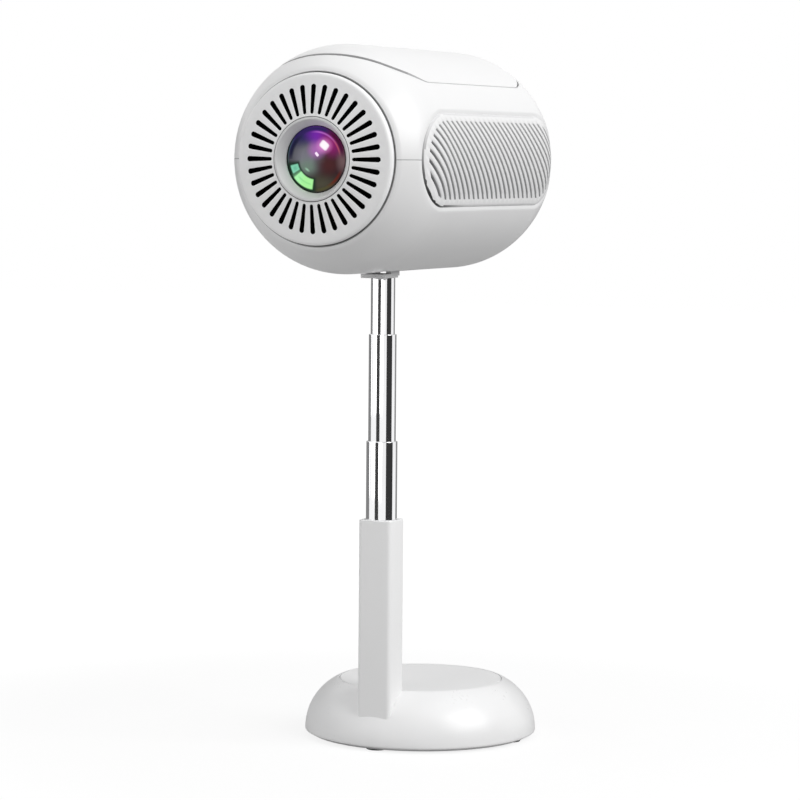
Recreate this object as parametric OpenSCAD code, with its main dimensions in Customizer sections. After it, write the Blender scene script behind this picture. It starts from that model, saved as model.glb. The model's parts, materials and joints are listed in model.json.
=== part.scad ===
// Desk projector: a barrel head tilts on a telescoping pole that stands in a weighted round base.
// Units are millimetres. The origin is the middle of the front foot on the table, z is up
// and the lens looks along -y. In the head, t is the distance back from the front face
// and h is the height above the optical axis.

/* [Barrel] */
// Barrel diameter
body_d = 102.8; // [98:0.2:112]
// Barrel length from front face to rear face
body_len = 163.5; // [157:0.5:175]
// Length of the rounded shoulder at each end
shoulder_len = 28.6; // [26:0.2:31]
// Radius of the shoulder arc
shoulder_r = 40.6; // [39:0.2:44]
// Wall thickness of the half shells
shell_wall = 2.4; // [2.2:0.1:3]
// Flat rim between the shoulder and each end disc
rim_land = 1.7; // [1.2:0.1:2.2]
// Thickness of the end discs
disc_t = 2.6; // [2.4:0.1:3.2]
// Gap around the discs and panels that are let into the shells
trim_gap = 0.3; // [0.2:0.05:0.5]
// Distance from the front face back to the pole
pole_back = 67.2; // [60:0.2:75]

/* [Top lid] */
// Width of the lid
lid_w = 77.4; // [60:0.2:80]
// Distance from each end of the barrel to the middle of the lid's curved edge
lid_inset = 8.5; // [6:0.5:16]
// Radius of the lid's curved front and rear edges in plan
lid_arc_r = 60; // [50:1:80]
// Thickness of the lid
lid_t = 1.2; // [0.8:0.1:1.4]
// Gap around the lid
lid_gap = 0.5; // [0.3:0.1:0.8]

/* [Side panels] */
// Distance from each end of the barrel to the panel
panel_end = 10; // [9.5:0.5:20]
// Height of the panel
panel_h = 42; // [34:1:46]
// How far the panel face lies below the barrel surface
panel_recess = 0.3; // [0.2:0.1:1.5]
// Distance from the panel edge to the slot ends
slot_margin = 3.6; // [2:0.2:6]
// Width of a slot
slot_w = 1.3; // [0.8:0.1:1.8]
// Number of slots
slot_count = 30; // [20:1:32]

/* [Front disc and lens] */
// How far the edge of the front disc stands out from the barrel
disc_rise = 3; // [1.6:0.1:4]
// Further rise of the front disc from its edge to the focus ring
disc_dome = 2.2; // [0.4:0.1:3]
// Number of radial slots in the front disc
grille_slots = 36; // [24:2:40]
// Width of a radial slot at its inner end
grille_slot_in = 1.35; // [1:0.05:1.6]
// Width of a radial slot at its outer end
grille_slot_out = 2.15; // [1.6:0.05:2.4]
// Distance from the disc edge to the outer slot ends
grille_margin = 5.1; // [5:0.1:8]
// Outer radius of the focus ring
ring_r = 18.5; // [18:0.1:19]
// Radius of the front lens
lens_r = 14.2; // [13.6:0.1:14.4]
// Depth of the funnel in the focus ring
funnel_depth = 4.4; // [4:0.1:6]
// Travel of the lens each way from rest
focus_travel = 2; // [1:0.1:2.4]

/* [Stand] */
// Width of the upper tube
tube_w = 10.9; // [10:0.1:11]
// Depth of the upper tube
tube_d = 8.8; // [8:0.1:9]
// Corner radius of the upper tube
tube_r = 3.3; // [2.5:0.1:3.8]
// Wall of each tube
tube_wall = 0.5; // [0.4:0.05:0.6]
// Gap between one tube and the next
tube_gap = 0.3; // [0.3:0.05:0.4]
// Length of the upper tube seen at rest
upper_out = 26.2; // [24:0.2:30]
// Length of the middle tube seen at rest
middle_out = 49.5; // [46:0.5:54]
// Length of the lower tube seen at rest
lower_out = 36.3; // [34:0.5:40]
// Height of the post's top above the table
post_top = 107.2; // [104:0.2:120]
// Width of the post
post_w = 17; // [16.8:0.1:19]
// Depth of the post
post_d = 15; // [14.8:0.1:17]
// Distance from the edge of the base in to the middle of the pole
pole_inset = 11; // [11:0.5:15]

/* [Base] */
// Radius of the base at its widest
base_r = 55; // [55:0.5:62]
// Height of the base's flat top
base_top = 26.5; // [25:0.5:32]
// Distance from the edge of the base in to the flat top plate
top_plate_inset = 16.5; // [14:0.5:21]
// Wall of the base shell
base_wall = 2.4; // [2:0.1:3]
// How far the feet lift the base off the table
foot_lift = 0.8; // [0.6:0.1:1.5]
// Radius of a foot
foot_r = 5; // [4:0.1:5.2]

/* [Hidden] */
$fn = 96;
cut = 1;
slide_fit = 0.05;
body_r = body_d / 2;
end_r = body_r - shoulder_r + sqrt(pow(shoulder_r, 2) - pow(shoulder_len, 2));
disc_r = end_r - rim_land;
seat_t = 2;
seat_w = 2.1;
seat_r = disc_r - seat_w;
bottom_gap = 0.3;
bottom_r = base_r - base_wall - bottom_gap;
foot_inset = 0.5;
foot_ring = bottom_r - foot_r - foot_inset;
pole_y = foot_ring - base_r + pole_inset;
front_y = pole_y - pole_back;

plate_bottom = post_top + lower_out + middle_out + upper_out;
plate_t = 1.8;
plate_gap = 0.8;
plate_w = 12.4;
plate_fwd = 12.6;
plate_rear = 4.8;
plate_corner = 2.4;
body_bottom = plate_bottom + plate_t + plate_gap;
axis_h = body_bottom + body_r;

pivot_up = 5.5;
pivot_z = body_bottom + pivot_up;
pin_r = 2;
ear_t = 2.6;
ear_r = 4.5;
pocket_side = 2.5;
pocket_lead = 4.4;
pocket_trail = 8.2;
pocket_air = 4;
pocket_w = plate_w + 2 * pocket_side;
pocket_fwd = plate_fwd + pocket_lead;
pocket_rear = plate_rear + pocket_trail;
pocket_wall = 1.6;
pocket_roof = pivot_z + ear_r + pocket_air;
washer_r = 4.4;
washer_gap = 0.1;

panel_flange_w = 2;
panel_flange_t = 1.2;
panel_x0 = 25;
panel_len = body_len - 2 * panel_end;
slot_lean = 45;
slot_reach = (panel_h / 2 - slot_margin) / cos(slot_lean);
slot_lead = 2.2;
slot_trail = 1.76;
slot_first = panel_end + panel_h / 2 - slot_reach + slot_lead;
slot_last = body_len - panel_end - panel_h / 2 + slot_reach - slot_trail;
slot_pitch = (slot_last - slot_first) / (slot_count - 1);

grille_inner = 1.4;
filter_t = 1.2;
disc_edge = 1.5;
ring_proud = 0.3;
ring_lip = disc_rise + disc_dome + ring_proud;
ring_wall_front = 1.1;
ring_web = 0.8;
ring_skirt_end = 14;
lens_clear = 0.7;
funnel_end = funnel_depth - ring_lip;
sleeve_inset = 1;
sleeve_r = ring_r - sleeve_inset;
sleeve_back = 1;
cell_wall = 1.4;
lens_ledge = 1.6;
cell_r = lens_r + cell_wall;
cell_bore = lens_r - lens_ledge;
cell_air = 0.6;
cell_front = funnel_end + ring_web + focus_travel + cell_air;
cell_len = 26.4;
cell_end = cell_front + cell_len;
lens_step = 0.6;
lens_rim = cell_front + lens_step;
lens_edge_t = 2.5;
lens_front_r = 24;
lens_sag = lens_front_r - sqrt(pow(lens_front_r, 2) - pow(lens_r, 2));
rear_lens_r = 40;
rear_lens_t = 5;
rear_lens_inset = 2;
rear_lens_start = cell_end - rear_lens_t - rear_lens_inset;
guide_pin_r = 0.9;
pin_air = 0.3;
guide_pin_back = 16;
guide_pin_t = cell_front + guide_pin_back;
sleeve_flange_w = 2.5;
sleeve_flange_r = ring_r + sleeve_flange_w;
sleeve_flange_t = 2;

housing_start = 44;
housing_len = 54;
housing_end = housing_start + housing_len;
housing_w = 62;
housing_h = 48;
housing_wall = 2;
plate_in_w = housing_w - 2 * housing_wall;
plate_in_h = housing_h - 2 * housing_wall;
lcd_t = 2;
lcd_back = 16;
lcd_start = housing_start + lcd_back;
field_gap = 10;
field_start = lcd_start + field_gap;
condenser_depth = 14;
condenser_start = housing_end - condenser_depth;
condenser_r = 20;
condenser_sphere = 26;
condenser_plate = 1.6;
lamp_board_t = 1.6;
lamp_w = 12;
lamp_t = 1.6;
lamp_air = 2;
sink_w = 44;
sink_plate = 4;
sink_depth = 16;
sink_fins = 9;
fin_t = 1.6;
sink_start = housing_end + lamp_board_t;
sink_end = sink_start + sink_plate + sink_depth;
fan_w = 40;
fan_t = 10;
fan_hole_r = 19;
fan_tip_gap = 0.6;
fan_hub_r = 9;
fan_back = 1.6;
fan_rotor_gap = 0.6;
fan_axle_r = 1.5;
fan_blades = 7;
blade_pitch = 38;
blade_t = 1.2;
rotor_cap = 1.6;
fan_strut_w = 2.4;
fan_screw_r = 1.6;
fan_screw_at = 16;
fan_end = sink_end + fan_t;

board_top = -25;
board_t = 1.6;
board_w = 58;
board_gap = 2;
board_inset = 7;
board_start = housing_end + board_gap;
board_end = body_len - board_inset;
rear_in = body_len - disc_t;
port_sink = 0.4;
port_face = body_len - port_sink;
port_gap = 0.3;
video_w = 15;
video_h = 5.5;
video_x = -7.5;
usb_w = 13.2;
usb_h = 5.8;
usb_x = 10;
port_depth = 14;
port_wall = 0.5;
port_back = 3;
tongue_t = 1.2;
tongue_share = 0.7;
tongue_back = 2;
jack_x = 21.5;
jack_w = 6.4;
jack_r = 3;
jack_bore_r = 1.8;
jack_bore_len = 12;
power_x = -21;
power_w = 9;
power_r = 4;
power_bore_r = 2.9;
power_bore_len = 9;
power_pin_r = 1;
jack_air = 1.4;
jack_body_end = rear_in - jack_air;
button_r = 5;
button_h = 27;
button_proud = 0.8;
button_flange_r = 6.2;
button_flange_t = 2;
button_gap = 0.2;
window_r = 3;
window_x = 14;
window_h = 24;
vent_slots = 24;
vent_in = 7;
vent_out = 17;
vent_w = 1.6;

pillar_share = 0.6;
pillar_inset = pillar_share * shell_wall;
post_spot_x = 24;
post_spot_r = 3;
board_lead = 6;
board_trail = 8;
board_spots = [board_start + board_lead, board_end - board_trail];
housing_lead = 8;
housing_trail = 6;
housing_spots = [housing_start + housing_lead, housing_end - housing_trail];
boss_inset = 4.7;
boss_x = lid_w / 2 - boss_inset;
boss_r = 3.4;
boss_shift = 8;
boss_spots = [shoulder_len + boss_shift, body_len - shoulder_len + boss_shift];
screw_r = 1.3;
screw_hole_r = 1.6;
screw_head_r = 2.5;
screw_head_t = 2;
screw_seat = 26;
screw_bite = 9;
counterbore_r = 2.8;

speaker_r = 14;
speaker_x = 36;
speaker_inset = 43;
speaker_t = body_len - speaker_inset;
magnet_r = 9;
magnet_t = 4;

step = 2 * (tube_gap + tube_wall);
bush_len = 6;
plug_len = 6;
lip_len = 2.5;
upper_top = plate_bottom;
middle_top = upper_top - upper_out;
lower_top = middle_top - middle_out;
lower_in = 51.7;
middle_rise = 59.5;
upper_rise = 37.5;
lower_foot = post_top - lower_in;
middle_foot = lower_foot + middle_rise;
upper_foot = middle_foot + upper_rise;
bracket_plug = 10;
collar_len = 3;
collar_wall = 0.6;
post_corner = 2;
post_gap = 0.15;

skirt_h = 1.8;
base_wide = foot_lift + skirt_h;
top_plate_r = base_r - top_plate_inset;
top_plate_t = 2;
roof_t = 2;
top_edge_w = 0.8;
top_edge_r = top_plate_r + top_edge_w;
dome_run = base_r - top_edge_r;
dome_rise = base_top - base_wide;
dome_r = (pow(dome_run, 2) + pow(dome_rise, 2)) / (2 * dome_run);
bottom_t = 2;
bottom_top = foot_lift + bottom_t;
weight_inset = 12.5;
weight_r = base_r - weight_inset;
weight_t = 9;
foot_sink = 0.7;
foot_count = 4;
foot_angle = -90;
boss_count = 4;
boss_angle = 45;
boss_ring_inset = 8;
base_boss_ring = base_r - boss_ring_inset;
base_boss_r = 2.8;
base_screw_len = 8;
post_block = 10;
post_screw_x = 5.5;
post_screw_back = 4.8;
post_screw_r = 1.5;
post_head_r = 2.8;
head_t = 1.2;

// Which node to draw

// Frames

module head_frame() {
  translate([0, front_y, axis_h]) children();
}

// Children are drawn along z, which becomes the distance back from the front face.
module on_axis() {
  head_frame() rotate([-90, 0, 0]) children();
}

module base_frame(z) {
  translate([0, foot_ring, z]) children();
}

module pole_frame(z) {
  translate([0, pole_y, z]) children();
}

module both_ends() {
  children();
  translate([0, 2 * front_y + body_len, 0]) mirror([0, 1, 0]) children();
}

module both_sides() {
  children();
  mirror([1, 0, 0]) children();
}

// Shared shapes

module disc(r, t0, t1) {
  on_axis() translate([0, 0, t0]) cylinder(r = r, h = t1 - t0);
}

module ring(r_out, r_in, t0, t1) {
  difference() {
    disc(r_out, t0, t1);
    disc(r_in, t0 - cut, t1 + cut);
  }
}

// A block in the head, centred in x, from t0 to t1 and from h0 to h1.
module block(w, t0, t1, h0, h1, x = 0) {
  head_frame() translate([x - w / 2, t0, h0]) cube([w, t1 - t0, h1 - h0]);
}

// A round bar in the head along y.
module bar(r, x, h, t0, t1) {
  head_frame() translate([x, t0, h]) rotate([-90, 0, 0]) cylinder(r = r, h = t1 - t0);
}

module rounded(w, d, r) {
  square([w - 2 * r, d], center = true);
  square([w, d - 2 * r], center = true);
  for (sx = [-1, 1], sy = [-1, 1])
    translate([sx * (w / 2 - r), sy * (d / 2 - r)]) circle(r = r);
}

// The section of a tube grown by g on every side.
module tube_section(g) {
  rounded(tube_w + 2 * g, tube_d + 2 * g, tube_r + g);
}

module tube_solid(g, z0, z1) {
  pole_frame(z0) linear_extrude(height = z1 - z0) tube_section(g);
}

module shoulder_half(inset) {
  intersection() {
    translate([body_r - shoulder_r, shoulder_len]) circle(r = shoulder_r - inset);
    translate([0, inset]) square([body_d, shoulder_len - inset]);
  }
}

module barrel_profile(inset) {
  shoulder_half(inset);
  translate([0, body_len]) mirror([0, 1]) shoulder_half(inset);
  translate([0, shoulder_len]) square([body_r - inset, body_len - 2 * shoulder_len]);
}

module barrel(inset) {
  on_axis() rotate_extrude() barrel_profile(inset);
}

module lid_outline(g) {
  intersection() {
    translate([-lid_w / 2 - g, 0]) square([lid_w + 2 * g, body_len]);
    union() {
      translate([0, lid_inset + lid_arc_r]) circle(r = lid_arc_r + g);
      translate([0, body_len - lid_inset - lid_arc_r]) circle(r = lid_arc_r + g);
    }
  }
}

module lid_prism(g) {
  head_frame() linear_extrude(height = body_r + 2 * cut) lid_outline(g);
}

module pill(g) {
  run = panel_len - panel_h;
  translate([body_len / 2, 0]) {
    square([run, panel_h + 2 * g], center = true);
    for (s = [-1, 1]) translate([s * run / 2, 0]) circle(r = panel_h / 2 + g);
  }
}

// Draws a side view (t, h) as a prism that runs outwards along x.
module side_prism() {
  head_frame() translate([panel_x0, 0, 0]) rotate([90, 0, 90])
    linear_extrude(height = body_r + cut - panel_x0) children();
}

module slot_field() {
  intersection() {
    pill(-slot_margin);
    for (k = [0 : slot_count - 1])
      translate([slot_first + k * slot_pitch, 0]) rotate(slot_lean)
        square([slot_w, 3 * panel_h], center = true);
  }
}

module radial_slots(count, w_in, w_out, r_in, r_out, t0, t1) {
  from = r_in + w_in / 2;
  to = r_out - w_out / 2;
  for (k = [0 : count - 1])
    on_axis() rotate(k * 360 / count) translate([0, 0, t0]) linear_extrude(height = t1 - t0) {
      polygon([[-w_in / 2, from], [w_in / 2, from], [w_out / 2, to], [-w_out / 2, to]]);
      translate([0, from]) circle(d = w_in);
      translate([0, to]) circle(d = w_out);
    }
}

module half_space(up) {
  translate([-body_d, front_y - body_len, up ? axis_h : axis_h - body_d])
    cube([2 * body_d, 3 * body_len, body_d]);
}

// Upright pillars inside a shell, kept within its wall.
module pillars(xs, ts, r, h0, h1) {
  intersection() {
    barrel(pillar_inset);
    for (x = xs, t = ts) head_frame() translate([x, t, h0]) cylinder(r = r, h = h1 - h0);
  }
}

module shell_half(up) {
  difference() {
    intersection() {
      union() {
        difference() {
          barrel(0);
          barrel(shell_wall);
        }
        both_ends() ring(end_r, seat_r, disc_t, disc_t + seat_t);
      }
      half_space(up);
    }
    both_ends() disc(disc_r + trim_gap, -cut, disc_t);
    both_sides() side_prism() pill(0);
  }
}

module post_prism(g, z0, z1) {
  pole_frame(z0) linear_extrude(height = z1 - z0)
    rounded(post_w + 2 * g, post_d + 2 * g, post_corner + g);
}

module dome_profile(inset, top) {
  intersection() {
    translate([base_r - dome_r, base_wide]) circle(r = dome_r - inset);
    translate([0, base_wide]) square([2 * base_r, top - base_wide]);
  }
  translate([0, base_wide]) square([base_r - dome_r, top - base_wide]);
  translate([0, foot_lift]) square([base_r - inset, base_wide - foot_lift]);
}

module base_ring(count, r, start) {
  for (k = [0 : count - 1])
    base_frame(0) rotate(start + k * 360 / count) translate([r, 0, 0]) children();
}

// A screw that points up, its head seated at z = 0.
module screw(r, length, head_r, head_h) {
  cylinder(r = r, h = length);
  translate([0, 0, -head_h]) cylinder(r = head_r, h = head_h);
}

module post_screw_spots() {
  for (s = [-1, 1]) pole_frame(0) translate([s * post_screw_x, post_screw_back, 0]) children();
}

// Base

module base_shell() {
  color([0.93, 0.93, 0.93]) difference() {
    union() {
      difference() {
        base_frame(0) rotate_extrude() dome_profile(0, base_top);
        base_frame(0) rotate_extrude() dome_profile(base_wall, base_top - top_plate_t - roof_t);
      }
      intersection() {
        base_frame(0) rotate_extrude() dome_profile(base_wall / 2, base_top - top_plate_t - roof_t);
        base_ring(boss_count, base_boss_ring, boss_angle) translate([0, 0, bottom_top])
          cylinder(r = base_boss_r, h = base_top);
      }
    }
    base_frame(base_top - top_plate_t) cylinder(r = top_plate_r + trim_gap, h = top_plate_t + cut);
    post_prism(post_gap, 0, base_top + cut);
    base_ring(boss_count, base_boss_ring, boss_angle)
      cylinder(r = screw_r, h = bottom_top + base_screw_len);
  }
}

module base_top_plate() {
  color([0.84, 0.84, 0.85]) difference() {
    base_frame(base_top - top_plate_t) cylinder(r = top_plate_r, h = top_plate_t);
    post_prism(post_gap, 0, base_top + cut);
  }
}

module base_weight() {
  color([0.45, 0.46, 0.48]) difference() {
    base_frame(bottom_top) cylinder(r = weight_r, h = weight_t);
    post_prism(post_gap, 0, base_top + cut);
  }
}

module base_bottom_plate() {
  color([0.8, 0.8, 0.8]) difference() {
    base_frame(foot_lift) cylinder(r = bottom_r, h = bottom_t);
    base_ring(foot_count, foot_ring, foot_angle) cylinder(r = foot_r, h = foot_lift + foot_sink);
    base_ring(boss_count, base_boss_ring, boss_angle) cylinder(r = screw_r, h = base_top);
    base_ring(boss_count, base_boss_ring, boss_angle) cylinder(r = screw_head_r, h = foot_lift + head_t);
    post_screw_spots() cylinder(r = post_screw_r, h = base_top);
    post_screw_spots() cylinder(r = post_head_r, h = foot_lift + head_t);
  }
}

module feet() {
  color([0.55, 0.55, 0.56]) base_ring(foot_count, foot_ring, foot_angle)
    cylinder(r = foot_r, h = foot_lift + foot_sink);
}

module base_screws() {
  color([0.7, 0.7, 0.72]) base_ring(boss_count, base_boss_ring, boss_angle)
    translate([0, 0, foot_lift + head_t])
      screw(screw_r, bottom_t - head_t + base_screw_len, screw_head_r, head_t);
}

module post() {
  bore = 3 * tube_gap + 2 * tube_wall;
  color([0.92, 0.92, 0.92]) difference() {
    post_prism(0, bottom_top, post_top);
    tube_solid(bore, bottom_top + post_block, post_top + cut);
    post_screw_spots() cylinder(r = post_screw_r, h = bottom_top + base_screw_len);
    tube_solid(bore + collar_wall, post_top - collar_len, post_top + cut);
  }
}

module post_collar() {
  bore = 3 * tube_gap + 2 * tube_wall;
  color([0.85, 0.85, 0.86]) difference() {
    tube_solid(bore + collar_wall, post_top - collar_len, post_top);
    tube_solid(step + slide_fit, 0, post_top + cut);
  }
}

module post_screws() {
  color([0.7, 0.7, 0.72]) post_screw_spots() translate([0, 0, foot_lift + head_t])
    screw(post_screw_r, bottom_t - head_t + base_screw_len, post_head_r, head_t);
}

// Telescoping tubes

module tube(g, z0, z1) {
  difference() {
    tube_solid(g, z0, z1);
    tube_solid(g - tube_wall, z0 - cut, z1 + cut);
  }
}

// The mouth of a tube is drawn in so that it guides the tube inside it.
module tube_lip(g, z1) {
  difference() {
    tube_solid(g - tube_wall / 2, z1 - lip_len, z1);
    tube_solid(g - step / 2 + slide_fit, z1 - lip_len - cut, z1 + cut);
  }
}

module bush(g, z) {
  tube_solid(g + tube_gap - slide_fit, z - bush_len, z);
  tube_solid(g - tube_wall, z, z + plug_len);
}

module tube_lower() {
  color([0.78, 0.79, 0.8]) {
    tube(step, lower_foot, lower_top);
    tube_lip(step, lower_top);
  }
}

module bush_lower() {
  color([0.2, 0.2, 0.2]) bush(step, lower_foot);
}

module tube_middle() {
  color([0.78, 0.79, 0.8]) {
    tube(step / 2, middle_foot, middle_top);
    tube_lip(step / 2, middle_top);
  }
}

module bush_middle() {
  color([0.2, 0.2, 0.2]) bush(step / 2, middle_foot);
}

module tube_upper() {
  color([0.78, 0.79, 0.8]) tube(0, upper_foot, upper_top);
}

module bush_upper() {
  color([0.2, 0.2, 0.2]) bush(0, upper_foot);
}

// Tilt joint

module tilt_bracket() {
  ear_x = plate_w / 2 - ear_t;
  ear_base = plate_bottom + plate_t / 2;
  color([0.6, 0.6, 0.61]) {
    tube_solid(-tube_wall, plate_bottom - bracket_plug, plate_bottom);
    pole_frame(plate_bottom) linear_extrude(height = plate_t)
      translate([0, (plate_rear - plate_fwd) / 2]) rounded(plate_w, plate_fwd + plate_rear, plate_corner);
    both_sides() difference() {
      union() {
        pole_frame(ear_base) translate([ear_x, -ear_r, 0]) cube([ear_t, 2 * ear_r, pivot_z - ear_base]);
        pole_frame(pivot_z) translate([ear_x, 0, 0]) rotate([0, 90, 0]) cylinder(r = ear_r, h = ear_t);
      }
      pole_frame(pivot_z) rotate([0, 90, 0]) cylinder(r = pin_r + slide_fit, h = plate_w);
    }
  }
}

module pin_bar(r, length) {
  pole_frame(pivot_z) rotate([0, 90, 0]) cylinder(r = r, h = length, center = true);
}

module tilt_pin() {
  color([0.72, 0.72, 0.74]) pin_bar(pin_r, pocket_w + 2 * pocket_wall);
}

module tilt_washers() {
  wide = pocket_w / 2 - plate_w / 2 - washer_gap;
  color([0.25, 0.25, 0.26]) both_sides() pole_frame(pivot_z) translate([pocket_w / 2 - wide, 0, 0])
    rotate([0, 90, 0]) difference() {
      cylinder(r = washer_r, h = wide);
      translate([0, 0, -cut]) cylinder(r = pin_r, h = wide + 2 * cut);
    }
}

// Head shells

module hinge_box(g, z1) {
  pole_frame(body_bottom - cut) translate([-pocket_w / 2 - g, -pocket_fwd - g, 0])
    cube([pocket_w + 2 * g, pocket_fwd + pocket_rear + 2 * g, z1 + g - body_bottom + cut]);
}

module boss_frame(h) {
  for (x = [-boss_x, boss_x], t = boss_spots) head_frame() translate([x, t, h]) children();
}

module upper_shell() {
  color([0.95, 0.95, 0.95]) difference() {
    union() {
      shell_half(true);
      pillars([-boss_x, boss_x], boss_spots, boss_r, 0, body_r);
    }
    intersection() {
      difference() {
        barrel(-cut);
        barrel(lid_t);
      }
      lid_prism(lid_gap);
    }
    boss_frame(-cut) cylinder(r = screw_hole_r, h = body_r);
    boss_frame(screw_seat) cylinder(r = counterbore_r, h = body_r);
  }
}

module lower_shell() {
  color([0.95, 0.95, 0.95]) difference() {
    union() {
      shell_half(false);
      intersection() {
        barrel(shell_wall / 2);
        hinge_box(pocket_wall, pocket_roof);
      }
      pillars([-boss_x, boss_x], boss_spots, boss_r, -body_r, 0);
      pillars([-post_spot_x, post_spot_x], housing_spots, post_spot_r, -body_r, -housing_h / 2);
      pillars([-post_spot_x, post_spot_x], board_spots, post_spot_r, -body_r, board_top - board_t);
    }
    hinge_box(0, pocket_roof);
    pin_bar(pin_r, pocket_w + 2 * pocket_wall + cut);
    boss_frame(-screw_bite) cylinder(r = screw_r, h = screw_bite + cut);
  }
}

module top_lid() {
  color([0.96, 0.96, 0.96]) intersection() {
    difference() {
      barrel(0);
      barrel(lid_t);
    }
    lid_prism(0);
  }
}

module side_panel() {
  difference() {
    union() {
      intersection() {
        barrel(panel_recess);
        side_prism() pill(-trim_gap);
      }
      intersection() {
        barrel(shell_wall);
        side_prism() pill(panel_flange_w);
      }
    }
    barrel(shell_wall + panel_flange_t);
    side_prism() slot_field();
  }
}

module side_panel_right() {
  color([0.94, 0.94, 0.94]) side_panel();
}

module side_panel_left() {
  color([0.94, 0.94, 0.94]) mirror([1, 0, 0]) side_panel();
}

module shell_screws() {
  color([0.7, 0.7, 0.72]) boss_frame(screw_seat) rotate([180, 0, 0])
    screw(screw_r, screw_seat + screw_bite, screw_head_r, screw_head_t);
}

// Front disc and lens

module grille_profile() {
  hole = ring_r + trim_gap;
  crown = disc_rise + disc_dome;
  polygon([
    [hole, -crown], [disc_r - disc_edge, -disc_rise], [disc_r, disc_edge - disc_rise],
    [disc_r, disc_t], [seat_r, disc_t], [seat_r, disc_t - disc_rise], [hole, disc_t - crown]
  ]);
}

module front_grille() {
  color([0.8, 0.8, 0.81]) difference() {
    on_axis() rotate_extrude() grille_profile();
    radial_slots(grille_slots, grille_slot_in, grille_slot_out, ring_r + grille_inner,
      disc_r - grille_margin, -ring_lip - cut, disc_t + cut);
  }
}

module dust_filter() {
  color([0.05, 0.05, 0.05]) ring(seat_r - trim_gap, ring_r + trim_gap, disc_t, disc_t + filter_t);
}

module focus_ring() {
  color([0.9, 0.9, 0.9]) difference() {
    disc(ring_r, -ring_lip, ring_skirt_end);
    on_axis() translate([0, 0, -ring_lip])
      cylinder(r1 = ring_r - ring_wall_front, r2 = lens_r + lens_clear, h = funnel_depth);
    disc(lens_r + lens_clear, -ring_lip, ring_skirt_end);
    disc(sleeve_r + slide_fit, funnel_end + ring_web, ring_skirt_end + cut);
  }
}

module guide_slots(half_w, t0, t1) {
  for (k = [0 : 2]) on_axis() rotate(k * 120) translate([-half_w, 0, t0])
    cube([2 * half_w, sleeve_r + cut, t1 - t0]);
}

module focus_sleeve() {
  slack = focus_travel + guide_pin_r + pin_air;
  color([0.12, 0.12, 0.12]) difference() {
    union() {
      disc(sleeve_r, funnel_end + ring_web + sleeve_back, housing_start);
      disc(sleeve_flange_r, housing_start - sleeve_flange_t, housing_start);
    }
    disc(cell_r + slide_fit, 0, housing_start + cut);
    guide_slots(guide_pin_r + pin_air, guide_pin_t - slack, guide_pin_t + slack);
  }
}

module lens_cell() {
  color([0.08, 0.08, 0.08]) difference() {
    union() {
      disc(cell_r, cell_front, cell_end);
      for (k = [0 : 2]) on_axis() rotate(k * 120) translate([0, cell_bore, guide_pin_t])
        rotate([-90, 0, 0]) cylinder(r = guide_pin_r, h = sleeve_r - pin_air - cell_bore);
    }
    disc(cell_bore, cell_front - cut, cell_end + cut);
    disc(lens_r, cell_front - cut, lens_rim + lens_edge_t);
  }
}

module front_lens() {
  vertex = lens_rim - lens_sag;
  color([0.25, 0.2, 0.4, 0.6]) intersection() {
    disc(lens_r, vertex - cut, lens_rim + lens_edge_t);
    on_axis() translate([0, 0, vertex + lens_front_r]) sphere(r = lens_front_r);
  }
}

module rear_lens() {
  middle = rear_lens_start + rear_lens_t / 2;
  bow = rear_lens_t / 2;
  color([0.6, 0.7, 0.8, 0.5]) intersection() {
    disc(cell_bore, rear_lens_start, rear_lens_start + rear_lens_t);
    on_axis() translate([0, 0, middle - bow + rear_lens_r]) sphere(r = rear_lens_r, $fn = 360);
    on_axis() translate([0, 0, middle + bow - rear_lens_r]) sphere(r = rear_lens_r, $fn = 360);
  }
}

// Light path

module optical_housing() {
  color([0.1, 0.1, 0.1]) difference() {
    block(housing_w, housing_start, housing_end, -housing_h / 2, housing_h / 2);
    block(plate_in_w, housing_start + housing_wall, housing_end + cut, -plate_in_h / 2, plate_in_h / 2);
    disc(cell_r + slide_fit, housing_start - cut, housing_end);
  }
}

module inner_plate(t0, thick) {
  block(plate_in_w, t0, t0 + thick, -plate_in_h / 2, plate_in_h / 2);
}

module lcd_panel() {
  color([0.15, 0.18, 0.25]) inner_plate(lcd_start, lcd_t);
}

module field_lens() {
  color([0.8, 0.85, 0.88, 0.5]) inner_plate(field_start, lcd_t);
}

module condenser_lens() {
  top = condenser_start + condenser_plate;
  apex = housing_end - lamp_t - lamp_air;
  color([0.8, 0.85, 0.88, 0.5]) {
    inner_plate(condenser_start, condenser_plate);
    intersection() {
      disc(condenser_r, top - condenser_plate / 2, apex);
      on_axis() translate([0, 0, apex - condenser_sphere]) sphere(r = condenser_sphere);
    }
  }
}

module lamp_board() {
  color([0.85, 0.85, 0.82])
    block(housing_w, housing_end, sink_start, -housing_h / 2, housing_h / 2);
}

module lamp() {
  color([0.95, 0.85, 0.3]) block(lamp_w, housing_end - lamp_t, housing_end, -lamp_w / 2, lamp_w / 2);
}

module heat_sink() {
  pitch = (sink_w - fin_t) / (sink_fins - 1);
  root = sink_start + sink_plate / 2;
  color([0.7, 0.71, 0.73]) {
    block(sink_w, sink_start, sink_start + sink_plate, -sink_w / 2, sink_w / 2);
    for (k = [0 : sink_fins - 1])
      block(fin_t, root, sink_end, -sink_w / 2, sink_w / 2, (k - (sink_fins - 1) / 2) * pitch);
  }
}

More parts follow.
